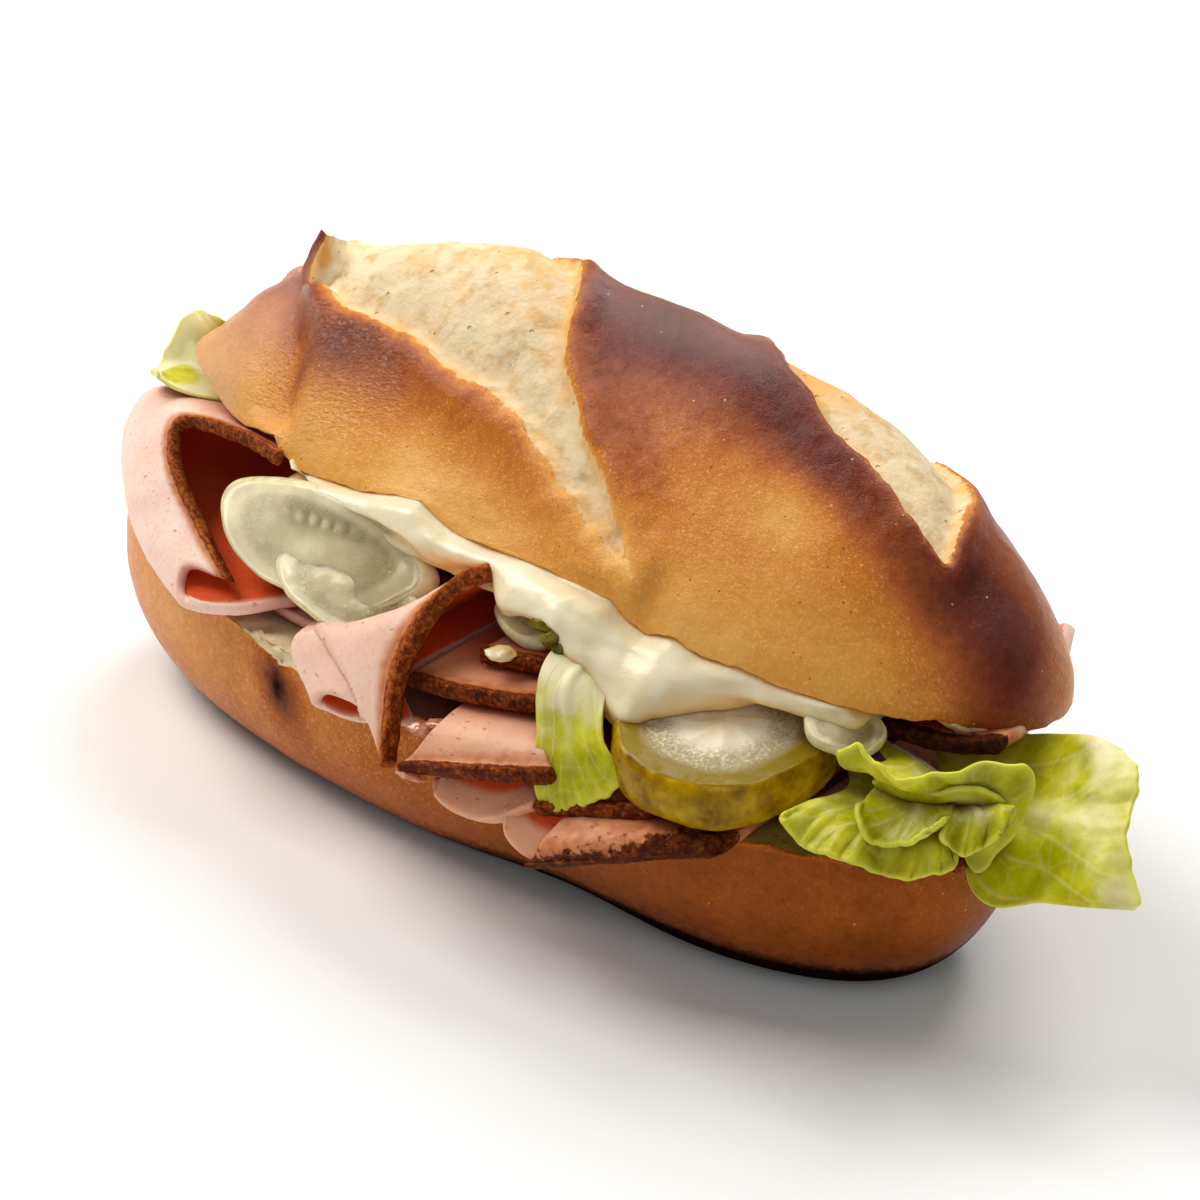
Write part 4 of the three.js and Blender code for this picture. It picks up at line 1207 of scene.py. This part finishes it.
# Gherkin slices
PICKLES = {
    "pickle_front": {
        "centre": (51, -22.5, 40), "axis": (0.08, -0.1, 1), "spin": 0.2,
        "long": 17.6, "short": 17, "thickness": 8.4, "look": "gherkin_skin", "pattern": "wheel",
    },
    "pickle_left": {
        "centre": (-29, -27.2, 46.6), "axis": (0, -0.85, 0.5),
        "long": 23.4, "short": 9.4, "thickness": 4, "bend": -1.5, "look": "gherkin_pale",
        "pattern": "row", "core_at": 0.4,
    },
    "pickle_left_low": {
        "centre": (-19, -30.5, 42), "axis": (0, -0.5, 0.85),
        "long": 16, "short": 6, "thickness": 3.2, "bend": 0.8, "look": "gherkin_pale",
    },
    "pickle_mid": {
        "centre": (14, -20, 47.4), "axis": (0.05, -0.2, 1),
        "long": 9, "short": 8, "thickness": 3, "look": "gherkin_pale",
    },
    "pickle_right": {
        "centre": (69.5, -15.5, 46.4), "axis": (0.25, -0.45, 0.85), "spin": 0.3,
        "long": 6.4, "short": 4.8, "thickness": 2.4, "look": "gherkin_pale",
    },
    "pickle_back": {
        "centre": (-2, 28, 38.6), "axis": (0, 0.15, 1), "spin": 0.1,
        "long": 16, "short": 14, "thickness": 3.6, "look": "gherkin_skin", "pattern": "wheel",
    },
}
PICKLE_COLUMNS = 128
FACE_RINGS = 22
SKIN_RINGS = 16


def pickle_slice(name, centre, axis, long, short, thickness, look,
                 spin=0, bend=0, pattern="plain", core_at=0):
    """One slice; its seeds lie in a row, like a wheel's spokes or nowhere."""
    face = np.linspace(0.04, 0.9, FACE_RINGS)
    turn = np.linspace(-math.pi / 2, math.pi / 2, SKIN_RINGS)
    size = np.concatenate([face, 0.9 + 0.1 * np.cos(turn) ** 0.8, face[::-1]])
    level = np.concatenate([np.full(FACE_RINGS, -0.5), 0.5 * np.sin(turn), np.full(FACE_RINGS, 0.5)])
    skin = np.concatenate([np.zeros(FACE_RINGS), smooth(0, 0.3, np.cos(turn)), np.zeros(FACE_RINGS)])
    angle = np.arange(PICKLE_COLUMNS) / PICKLE_COLUMNS * 2 * math.pi
    uneven = 1 + 0.03 * np.sin(3 * angle + spin) + 0.02 * np.sin(5 * angle)
    x = long * size[:, None] * uneven * np.cos(angle)
    y = short * size[:, None] * uneven * np.sin(angle)
    z = level[:, None] * thickness + bend * (x / long) ** 2
    flat = np.stack([x, y, z], -1).reshape(-1, 3)
    seed = sum(map(ord, name)) % 70
    on_face = np.repeat(skin < 0.5, PICKLE_COLUMNS)
    side = np.sign(np.repeat(level, PICKLE_COLUMNS))
    radial = np.repeat(size, PICKLE_COLUMNS)
    u, v = flat[:, 0] / long, flat[:, 1] / short
    # shade is painted shade, darker olive towards one end of a pale slice
    shade = 0
    if pattern == "plain":
        core = np.zeros(len(flat))
        relief = rough(flat, 5, 2, seed + 2) * 0.5
        shade = 0.85 * smooth(-0.4, 0.7, u)
    elif pattern == "row":
        off = v - core_at - 0.08 * np.sin(3 * u)
        core = bell(off, 0.24) * smooth(0.8, 0.4, np.abs(u - 0.35))
        seeds = np.abs(np.sin(flat[:, 0] * 1.1)) ** 2 * core * bell(off, 0.1)
        relief = 0.5 * seeds - 0.8 * core + 0.3 * bell(v + 0.25, 0.2)
        core = np.clip(core - 1.2 * seeds, 0, 1) * 0.75
        shade = 0.8 * smooth(-0.1, 0.8, u)
    else:
        core = bell(radial - 0.36, 0.2)
        seeds = np.abs(np.sin(np.tile(angle, len(size)) * 4 + radial * 3)) * core
        relief = -0.35 * seeds - 0.25 * bell(radial - 0.62, 0.07)
    relief = relief + rough(flat, 7, 2, seed) * 0.3
    sway = lattice_noise(flat * [1, 1, 0], 9, seed + 4)
    flat[:, 2] += np.where(on_face, side * relief, 0) + sway * (1.3 if look == "gherkin_pale" else 0.2)
    out = unit(flat * [1, 1, 0])
    flat = flat + out * (smooth(0.6, 1, radial) * rough(flat, 9, 2, seed + 9) * 0.5)[:, None]
    flat = flat @ rotation(2, spin).T
    quaternion = Vector((0, 0, 1)).rotation_difference(Vector(axis).normalized())
    flat = flat @ np.array(quaternion.to_matrix()).T + np.array(centre)
    points, faces = closed_rings(flat.reshape(len(size), PICKLE_COLUMNS, 3))
    # The core field carries the seed core and the painted shade
    core = np.maximum(core * on_face, shade)
    fields = {"radial": radial, "skin": np.repeat(skin, PICKLE_COLUMNS), "core": core}
    make_piece(name + "_slice", points, faces, capped(fields), look, [name])


# Lettuce: rows from the free edge in; added leaves are inner folds laid in the frilly leaf's hollow
LEAVES = {
    "lettuce_mid": {
        "rows": [
            [(30.5, -42.5, 28.5), (37, -42.5, 31.5), (46.5, -38.8, 38.5)],
            [(29, -40, 36.5), (34, -39, 38.5), (40.5, -37, 41.5)],
            [(25, -34.5, 46.5), (29.5, -33.6, 46.6), (35.5, -31, 45.5)],
            [(24, -24, 49.5), (29, -23, 48), (35, -22, 46)],
            [(22, 4, 45), (32, 6, 45), (42, 4, 45)],
        ],
        "waves": 0.8, "height": 0.5, "phase": 0.5, "pale": (-0.3, 0.75), "frill": 0.8, "curl": -1.2,
    },
    "lettuce_outer": {
        "rows": [
            [(103, 8, 47), (111, 0, 50), (115, -8, 44), (122, -14, 37)],
            [(98, 8, 45), (105, 0, 45), (109, -8, 40), (116, -14, 34)],
            [(91, 8, 42), (97, 0, 41), (101, -8, 36), (107, -14, 31)],
            [(82, 8, 39), (90, 0, 38.5), (94, -8, 35), (95.5, -15, 27)],
            [(70, 8, 38), (74, 2, 38), (78, -2, 37.5), (82, -6, 36.5)],
        ],
        "waves": 1.3, "height": 1.2, "phase": 1, "pale": (0.6, -0.08), "frill": 0.7, "trim": 0.07,
        "curl": -2.0, "ends": -1.4,
    },
    "lettuce_frill": {
        "rows": [
            [(74, -26, 47.6), (80, -24.5, 47.6), (89, -20.5, 47.2),
             (98.6, -11, 48.6), (99.5, -12, 41), (95, -16.5, 30.4)],
            [(76, -22, 45), (83, -21, 45), (90, -17, 44.5),
             (95, -13, 43), (95, -13.5, 38.5), (92, -15, 33)],
            [(77, -14, 43), (82, -13, 43), (86, -12, 42),
             (88, -12, 41), (89, -12, 38.5), (88, -12, 36)],
            [(68, -8, 41), (72, -8, 41), (76, -8, 40.5),
             (79, -9, 40), (81, -10, 39), (82, -10, 37.5)],
        ],
        "waves": 2.2, "height": 1.3, "phase": 0, "pale": (0.05, 0.3), "frill": 1.3, "curl": 1.6,
    },
    "lettuce_frill_low": {
        "rows": [
            [(69, -31, 37), (79, -30, 34.5), (88, -25, 32.5), (94, -19, 33)],
            [(71, -27, 39), (80, -25, 38.2), (87, -21, 37.6), (91, -17, 37)],
            [(72, -18, 37), (79, -17, 37), (84, -15, 36.5), (87, -14, 36)],
            [(66, -8, 35), (70, -8, 35), (74, -9, 35), (77, -10, 35)],
        ],
        "waves": 2.4, "height": 1.4, "phase": 2, "pale": (0.0, 0.25), "frill": 1.7, "curl": 1.2,
    },
    "lettuce_left": {
        "rows": [
            [(-83, -13, 54), (-88, -6, 52), (-88, 2, 58), (-84, 8, 56)],
            [(-80, -11, 52), (-82, -4, 51), (-82, 3, 52), (-79, 10, 50)],
            [(-64, -4, 49.5), (-64, 2, 48.5), (-64, 8, 47.5), (-62, 14, 46.5)],
        ],
        "waves": 1.5, "height": 1.2, "phase": 1.2, "pale": (1.5, 1.5), "frill": 0.9,
        "green": [(1.0, 0.1, 0.2), (0.2, 0.4, 0.2)],
    },
    "lettuce_back": {
        "rows": [
            [(60, 43, 37.5), (44, 45, 39.5), (26, 47, 38), (6, 46, 38.5)],
            [(60, 37, 38), (44, 39, 38.4), (26, 41, 38.4), (8, 39, 38.6)],
            [(58, 20, 38), (44, 20, 38.6), (28, 20, 38.6), (16, 22, 38.8)],
        ],
        "waves": 3, "height": 1.2, "phase": 0.4, "pale": (0.1, 0.5), "frill": 1.2,
    },
    "inner_fold": {
        "rows": [
            [(79.5, -21, 41.8), (82, -20.5, 44.6), (89, -19.5, 44.2), (94.7, -16, 45), (98, -13, 43.4)],
            [(79.5, -18, 40), (83, -17.5, 41.2), (88.5, -16, 41.4), (92.5, -13.5, 41.4),
             (94.5, -11.5, 40.6)],
            [(74, -10, 37.5), (78, -11, 38), (81, -10.5, 38), (84, -10, 38), (86, -9, 38)],
        ],
        "waves": 1.6, "height": 0.8, "phase": 1.4, "pale": (0.1, 0.3), "frill": 0.5, "curl": 1.0,
        "added": True,
    },
    "inner_fold_low": {
        "rows": [
            [(78.5, -26, 39.8), (83.2, -26.4, 37.2), (89.5, -24.4, 38.2), (92.5, -21.4, 40.6)],
            [(79, -21, 41), (84, -21, 40.6), (88.5, -19.5, 41), (91.5, -18, 42)],
            [(76, -13, 39), (80, -13, 39), (84, -12, 38.6), (87, -11, 38)],
        ],
        "waves": 1.4, "height": 1.0, "phase": 0.3, "pale": (0.1, 0.3), "frill": 0.7, "curl": 1.2,
        "ends": 0.8, "added": True,
    },
    "inner_ruffle": {
        "rows": [
            [(91.5, -20.6, 38.5), (95, -19, 36.8), (98.4, -16.4, 39), (100, -14.3, 42.3)],
            [(91, -18, 42), (94, -16.8, 42), (96.8, -14.8, 43), (98.4, -13.3, 44)],
            [(85, -12, 38), (87, -11, 38), (89, -10, 38.5), (90, -9, 38.5)],
        ],
        "waves": 2.4, "height": 1.3, "phase": 2.1, "pale": (0.1, 0.3), "frill": 0.8, "curl": 1.0,
        "ends": 0.8, "added": True,
    },
}


LEAF_COLUMNS = 112
LEAF_ROWS = 54
LEAF_CROWD = 1.4
LEAF_CORNER = 1.6


def trimmed(grid, share, phase, ends):
    """The same leaf with its free edge cut back unevenly by up to a share of its length.

    Its ends are cut back more where ends is above 0, its middle where it is below."""
    rows, columns = grid.shape[:2]
    t = np.linspace(0, 1, columns) * 2 * math.pi
    wave = 0.5 + 0.25 * np.sin(2.3 * t + phase)
    wave = wave + 0.15 * np.sin(5.7 * t + 2 * phase) + 0.1 * np.sin(11 * t)
    off = np.abs(t / math.pi - 1)
    wave = wave + max(ends, 0) * off ** 4 + max(-ends, 0) * (1 - off ** 2)
    wave = wave + LEAF_CORNER * off ** 14
    s = np.linspace(0, 1, rows)[:, None]
    place = (s + share * wave * (1 - s) ** 2) * (rows - 1)
    low = np.minimum(place.astype(int), rows - 2)
    part = (place - low)[..., None]
    across = np.arange(columns)[None, :]
    return grid[low, across] * (1 - part) + grid[low + 1, across] * part


def leaf(name, rows, waves, height, phase, pale, frill,
         trim=0.1, curl=0, ends=0, green=(), added=False):
    """One leaf from its free edge in; pale is how white it is at that edge and further in.

    Green lists spots that stay green on a white leaf: across, in, reach."""
    t = np.linspace(0, 1, LEAF_COLUMNS)
    s = np.linspace(0, 1, LEAF_ROWS) ** LEAF_CROWD
    grid = trimmed(loft(rows, t, s), trim, phase, ends)
    tt, ss = np.meshgrid(t, s)
    free = 1 - ss
    seed = sum(map(ord, name)) % 80
    flat = np.stack([tt * waves * 2, ss * 2, 0 * tt + phase], -1).reshape(-1, 3)
    lobes = lattice_noise(flat, 1, seed).reshape(tt.shape)
    crinkle = lattice_noise(flat * [2.6, 1.3, 1], 1, seed + 3).reshape(tt.shape)
    finest = lattice_noise(flat * [7, 2.2, 1], 1, seed + 6).reshape(tt.shape)
    wave = height * free ** 1.5 * (0.7 * np.sin(2 * math.pi * waves * tt + phase + ss) + 0.9 * lobes)
    fine = frill * (free ** 3 * crinkle + 0.22 * free ** 10 * finest) + curl * free ** 8
    normal = surface_normal(grid)
    normal *= np.sign(normal[..., 2].mean() + 1e-9)
    grid = grid + normal * (wave + fine)[..., None]

    middle = 0.5 + 0.06 * np.sin(3 * ss + phase)
    away = np.abs(tt - middle)
    rib = bell(away, 0.07) * smooth(0.02, 0.5, ss)
    branch = (away * 4.5 + ss * 2.2 + 0.5 * lobes) % 1
    side = bell(branch - 0.5, 0.05) * smooth(0.02, 0.12, away) * smooth(0.0, 0.2, ss)
    vein = np.maximum(rib, 0.5 * side)
    grid = grid + normal * (0.45 * rib + 0.06 * side)[..., None]
    points, faces, source, turn = sheet_shell(grid, LEAF_THICKNESS / 2, 1.0)
    points = points + drift(points, 8, seed) * 0.5
    paleness = pale[0] + (pale[1] - pale[0]) * smooth(0.08, 0.5, ss) + 0.15 * bell(away, 0.12)
    for across, inward, reach in green:
        paleness = paleness - 2.2 * bell(np.hypot(tt - across, ss - inward), reach)
    rim = np.exp(-ss / 0.02)
    fields = {"vein": vein.ravel()[source], "pale": paleness.ravel()[source]}
    fields["rim"] = np.maximum(rim.ravel()[source], turn)
    make_piece(name + "_leaf", points, faces, fields, "leaf", [] if added else [name])


# Sauce spread under the upper half, its front edge drooping in lobes over the filling
SAUCE = {
    "left": -41, "right": 71, "overhang": 0.4, "droop": 0.4, "hang_end": 0.22, "hang_power": 1.4,
    "clearance": 0.6, "back_inset": 1,
}
LOBE = {"x": 36, "spread": 9, "droop": 2, "overhang": 4}
SAUCE_BODY = {
    "front": 0.6, "full": 1, "inside": 0.5, "front_end": 0.1, "thin_from": 0.2, "thin_to": 0.45,
}
SAUCE_COLUMNS = 150
SAUCE_ROWS = 70
SAUCE_VOXEL = 0.6

# The sauce's lower front edge from left to right, and how far its front bulges: x, y, z, bulge
SAUCE_FRONT = [
    (-41, -21.6, 56.2, 0.3), (-38.5, -23.2, 55.2, 0.8), (-33, -24.8, 54.6, 1.1), (-28, -25.4, 54.0, 1.3),
    (-22, -25.6, 54.2, 1.4),
    (-17, -25.8, 54.6, 1.6), (-12, -26.0, 54.0, 1.9), (-9, -26.2, 53.0, 2.0), (-5, -26.2, 52.0, 2.0),
    (-1, -26.0, 52.4, 1.7), (3, -25.6, 54.0, 1.2), (6.5, -25.4, 54.8, 1.0), (9, -26.6, 52.8, 1.3),
    (11, -28.2, 50.6, 1.7), (13, -29.0, 50.3, 2.0), (16, -28.6, 51.4, 2.2), (20, -28.8, 51.8, 2.5),
    (23.4, -29.2, 51.4, 2.8), (25, -29.2, 48.9, 3.0), (27.5, -29.2, 46.3, 3.2), (30.5, -29.4, 43.6, 3.2),
    (34, -30.8, 42.2, 3.0), (38, -32.4, 42.2, 2.5), (41, -32.6, 43.6, 2.2), (44, -29.6, 44.6, 2.2),
    (47, -25.4, 44.8, 2.0), (51, -21.6, 45.2, 1.8), (55, -19.0, 46.6, 1.4), (58, -18.8, 48.2, 1.0),
    (61, -19.0, 49.4, 0.7), (65, -18.4, 49.9, 0.5), (68, -17.6, 50.1, 0.4), (70, -16.6, 50.4, 0.3),
]
FRONT_INSIDE = -12
FRONT_COLUMNS = 230
FRONT_AROUND = 44
FRONT_FOLDS = {"long": 14, "across": 2.8, "height": 0.6}


def sauce_sheet():
    t = np.linspace(0, 1, SAUCE_COLUMNS)
    s = np.linspace(0, 1, SAUCE_ROWS) ** 1.4
    tt, ss = np.meshgrid(t, s)
    x = SAUCE["left"] + tt * (SAUCE["right"] - SAUCE["left"])
    lobe = bell(x - LOBE["x"], LOBE["spread"])
    droop = SAUCE["droop"] + LOBE["droop"] * lobe
    overhang = SAUCE["overhang"] + LOBE["overhang"] * lobe
    front = top_edge(x, -1) - overhang
    back = top_edge(x, 1) - SAUCE["back_inset"]
    y = front + (back - front) * ss
    hang = droop * clamp01(1 - ss / SAUCE["hang_end"]) ** SAUCE["hang_power"]
    body = SAUCE_BODY
    fall = smooth(body["thin_from"], body["thin_to"], ss)
    sunk = SAUCE_THICKNESS * (body["full"] / 2 - body["inside"] / 2 * fall)
    z = cut_face_height(x, y) - sunk - SAUCE["clearance"] - hang
    rise = (body["full"] - body["front"]) * smooth(0, body["front_end"], ss)
    thickness = SAUCE_THICKNESS * (body["front"] + rise - (body["full"] - body["inside"]) * fall)
    points, faces = sheet_shell(np.stack([x, y, z], -1), thickness / 2)[:2]
    return points, faces.tolist()


def sauce_front():
    """A closed roll along the upper half's front edge that hangs down to the sauce's lower edge."""
    table = np.array(SAUCE_FRONT, float)
    x, y, z, bulge = (spline_weights(len(table), np.linspace(0, 1, FRONT_COLUMNS)) @ table).T
    edge = top_edge(x, -1)
    lift = edge_lift(x - TOP_PLACE[0])
    under = cut_face_height(x, edge) - 0.5 + lift
    sections = [
        (0 * x + FRONT_INSIDE, cut_face_height(x, FRONT_INSIDE) + 0.2),
        (edge + 3.0, cut_face_height(x, edge + 3.0) + 0.2 + lift),
        (edge + 0.4, under),
        (edge + (y - edge) * 0.35 - bulge * 0.8, under + (z - under) * 0.3 + bulge * 0.3),
        (edge + (y - edge) * 0.75 - bulge * 0.8, under + (z - under) * 0.68 + bulge * 0.1),
        (y, z),
        (y + 1.6, z - 0.5),
        (0 * x + FRONT_INSIDE, np.minimum(z, cut_face_height(x, FRONT_INSIDE) - 3.0)),
    ]
    ring = np.stack([np.stack([x, sy, sz], 1) for sy, sz in sections], 1)
    closed = np.concatenate([ring[:, -2:], ring, ring[:, :3]], 1)
    count = closed.shape[1]
    around = (2 + np.arange(FRONT_AROUND) / FRONT_AROUND * len(sections)) / (count - 1)
    rings = np.einsum("tp,npk->ntk", spline_weights(count, around), closed)
    return closed_rings(rings)


def fused(name, bodies, voxel, smoothing):
    """One smooth skin round several closed bodies: its points and faces in millimetres."""
    points, faces = joined(bodies)
    mesh = bpy.data.meshes.new(name)
    mesh.from_pydata(points.tolist(), [], faces)
    holder = bpy.data.objects.new(name, mesh)
    bpy.context.scene.collection.objects.link(holder)
    remesh = holder.modifiers.new("skin", "REMESH")
    remesh.mode = "VOXEL"
    remesh.voxel_size = voxel
    relax = holder.modifiers.new("relax", "SMOOTH")
    relax.iterations = smoothing
    skin = holder.evaluated_get(bpy.context.evaluated_depsgraph_get()).to_mesh()
    made = np.array([v.co for v in skin.vertices]), [list(p.vertices) for p in skin.polygons]
    bpy.data.objects.remove(holder)
    return made


def sauce():
    points, faces = fused("sauce_parts", [sauce_sheet(), sauce_front()], SAUCE_VOXEL, 5)
    fold = FRONT_FOLDS
    stretched = points / [fold["long"], fold["across"], fold["across"]]
    folds = lattice_noise(stretched, 1, 8) * fold["height"] + rough(points, 7, 2, 3) * 0.3
    points[:, 1] -= folds * smooth(-14, -22, points[:, 1])
    make_piece("sauce_spread", points, faces, {}, "sauce", ["sauce"])


# Small things that lie on the filling: place, half sizes, turn about Z and about X in degrees
SMALL_PIECES = {
    "sauce_drop": {
        "material": "sauce", "slot": "sauce", "fields": {},
        "bodies": [((14.4, -31.6, 45.3), (2.4, 1.7, 0.8), 35, 8)],
    },
    "jelly": {
        "material": "jelly", "slot": "meat", "fields": {},
        "bodies": [
            ((6.8, -42.0, 33.0), (2.6, 1.5, 0.8), 20, 10),
            ((10.0, -41.0, 34.6), (2.6, 1.3, 0.7), 10, 10),
            ((8.2, -46.4, 27.2), (2.8, 0.9, 0.6), 5, 15),
        ],
    },
    "gherkin_bits": {
        "material": "gherkin_dark", "slot": "gherkin", "fields": {"skin": 1},
        "bodies": [
            ((21.2, -29.4, 51.9), (2.4, 0.8, 1.1), 10, 20),
            ((23.6, -29.8, 50.4), (1.9, 0.8, 1.7), 30, 20),
            ((25.2, -30.0, 48.4), (1.3, 0.8, 2.2), 30, 10),
        ],
    },
    "cut_crumbs": {
        "material": "lower_crust", "slot": "crust", "fields": {"edge": -5},
        "bodies": [
            ((-37.0, -34.4, 29.6), (1.6, 0.9, 0.6), -8, 20),
            ((-31.4, -35.4, 29.4), (1.3, 1.0, 0.7), 25, 10),
            ((-24.6, -36.6, 29.0), (1.5, 0.8, 0.6), -5, 20),
        ],
    },
}
SMALL_RINGS = 16
SMALL_COLUMNS = 28


def small_body(at, size, turn, tip):
    """Points and faces of one small uneven body."""
    up = np.linspace(-math.pi / 2, math.pi / 2, SMALL_RINGS + 2)[1:-1, None]
    around = np.arange(SMALL_COLUMNS) / SMALL_COLUMNS * 2 * math.pi
    wide = np.cos(up)
    ball = np.stack([wide * np.cos(around), wide * np.sin(around), np.sin(up) + 0 * around], -1)
    flat = ball.reshape(-1, 3)
    uneven = 1 + rough(flat + np.array(at), 0.8, 3, 5)[:, None] * 0.28
    flat = flat * uneven * size
    turned = rotation(2, math.radians(turn)) @ rotation(0, math.radians(tip))
    flat = flat @ turned.T + np.array(at)
    return closed_rings(flat.reshape(ball.shape))


def small_pieces(name, material, slot, fields, bodies):
    points, faces = joined([small_body(*body) for body in bodies])
    filled = {key: np.full(len(points), value) for key, value in fields.items()}
    make_piece(name, points, faces, filled, material)


# Floor, lights and camera
CAMERA_AZIMUTH = math.radians(40.34)
CAMERA_ELEVATION = math.radians(31.01)
CAMERA_DISTANCE = 641.24
CAMERA_LENS = 116.72
CAMERA_TARGET = np.array([5.48, 2.89, 35.76])
SENSOR_WIDTH = 36
FLOOR_REACH = 3.0
AIR_LIGHT = 0.14
LIGHT_TARGET = Vector((0, 0, 0.04))

# Lights by azimuth and elevation in degrees, distance and size in metres, power in watts and colour
LIGHTS = {
    "key_light": (-80, 50, 0.9, 0.5, 7, (1.0, 0.98, 0.95)),
    "back_light": (195, 50, 1.0, 0.6, 7, (1, 1, 1)),
    "front_fill": (50, 40, 1.2, 0.9, 3.2, (1, 1, 1)),
}


def look_from(azimuth, elevation):
    level = math.cos(elevation)
    return np.array([math.sin(azimuth) * level, -math.cos(azimuth) * level, math.sin(elevation)])


def add_camera():
    data = bpy.data.cameras.new("photo_camera")
    data.lens = CAMERA_LENS
    data.sensor_width = SENSOR_WIDTH
    camera = bpy.data.objects.new("photo_camera", data)
    back = look_from(CAMERA_AZIMUTH, CAMERA_ELEVATION)
    camera.location = (CAMERA_TARGET + ORIGIN + back * CAMERA_DISTANCE) * MM
    camera.rotation_euler = Vector(-back).to_track_quat("-Z", "Y").to_euler()
    bpy.context.scene.collection.objects.link(camera)
    bpy.context.scene.camera = camera


def add_floor():
    corners = [(x * FLOOR_REACH, y * FLOOR_REACH, 0) for x, y in ((-1, -1), (1, -1), (1, 1), (-1, 1))]
    mesh = bpy.data.meshes.new("floor")
    mesh.from_pydata(corners, [], [(0, 1, 2, 3)])
    s = Shader("pale_floor")
    colour = s.mix(s.noise(220, 2), (244, 243, 240), (248, 247, 245))
    mesh.materials.append(s.finish(colour, 0.6, s.bump(s.noise(4, 2), 0.02)))
    floor = bpy.data.objects.new("floor", mesh)
    bpy.context.scene.collection.objects.link(floor)


def add_area(name, azimuth, elevation, distance, size, power, colour):
    """A square soft light that looks at the sandwich."""
    data = bpy.data.lights.new(name, "AREA")
    data.size = size
    data.energy = power
    data.color = colour
    lamp = bpy.data.objects.new(name, data)
    back = look_from(math.radians(azimuth), math.radians(elevation))
    lamp.location = Vector(back * distance) + LIGHT_TARGET
    lamp.rotation_euler = Vector(-back).to_track_quat("-Z", "Y").to_euler()
    bpy.context.scene.collection.objects.link(lamp)


def add_light():
    for name, light in LIGHTS.items():
        add_area(name, *light)
    world = bpy.data.worlds.new("studio")
    world.use_nodes = True
    background = world.node_tree.nodes["Background"]
    background.inputs["Color"].default_value = (1, 1, 1, 1)
    background.inputs["Strength"].default_value = AIR_LIGHT
    bpy.context.scene.world = world
    bpy.context.scene.view_settings.view_transform = "Standard"


MATERIALS = {
    "lower_crust": crust_material("lower_crust", 0.32, LOWER_STOPS, 0.09, 0.0),
    "upper_crust": crust_material("upper_crust", 0.34, CRUST_STOPS, 0.22, 0.06),
    "meat": meat_material(),
    "gherkin_skin": gherkin_material(
        "gherkin_skin", (226, 204, 158), (234, 216, 180), (244, 232, 206), (140, 116, 20), 1.0, 0.7,
        [(0.3, (112, 80, 0)), (0.5, (160, 122, 0)), (0.7, (194, 158, 4))], 0.14,
    ),
    "gherkin_dark": gherkin_material(
        "gherkin_dark", (120, 106, 30), (120, 106, 30), (120, 106, 30), (120, 106, 30), 0, 0,
        [(0.3, (64, 56, 0)), (0.5, (98, 88, 4)), (0.7, (138, 122, 16))], 0.3,
    ),
    # Its dark olive core colour serves the seed row and painted shade
    "gherkin_pale": gherkin_material(
        "gherkin_pale", (222, 208, 168), (232, 220, 184), (142, 122, 66), (236, 226, 192), 0.35, 0,
        [(0.3, (206, 192, 140)), (0.5, (224, 210, 164)), (0.7, (238, 228, 192))], 0.24,
    ),
    "leaf": leaf_material(),
    "sauce": sauce_material(),
    "jelly": jelly_material(),
}

bottom_half()
top_half()
for make, table in ((meat_slice, MEAT), (pickle_slice, PICKLES), (leaf, LEAVES)):
    for name, shape in table.items():
        make(name, **shape)
sauce()
ear_flap()
for name, shape in SMALL_PIECES.items():
    small_pieces(name, **shape)
add_floor()
add_light()
add_camera()
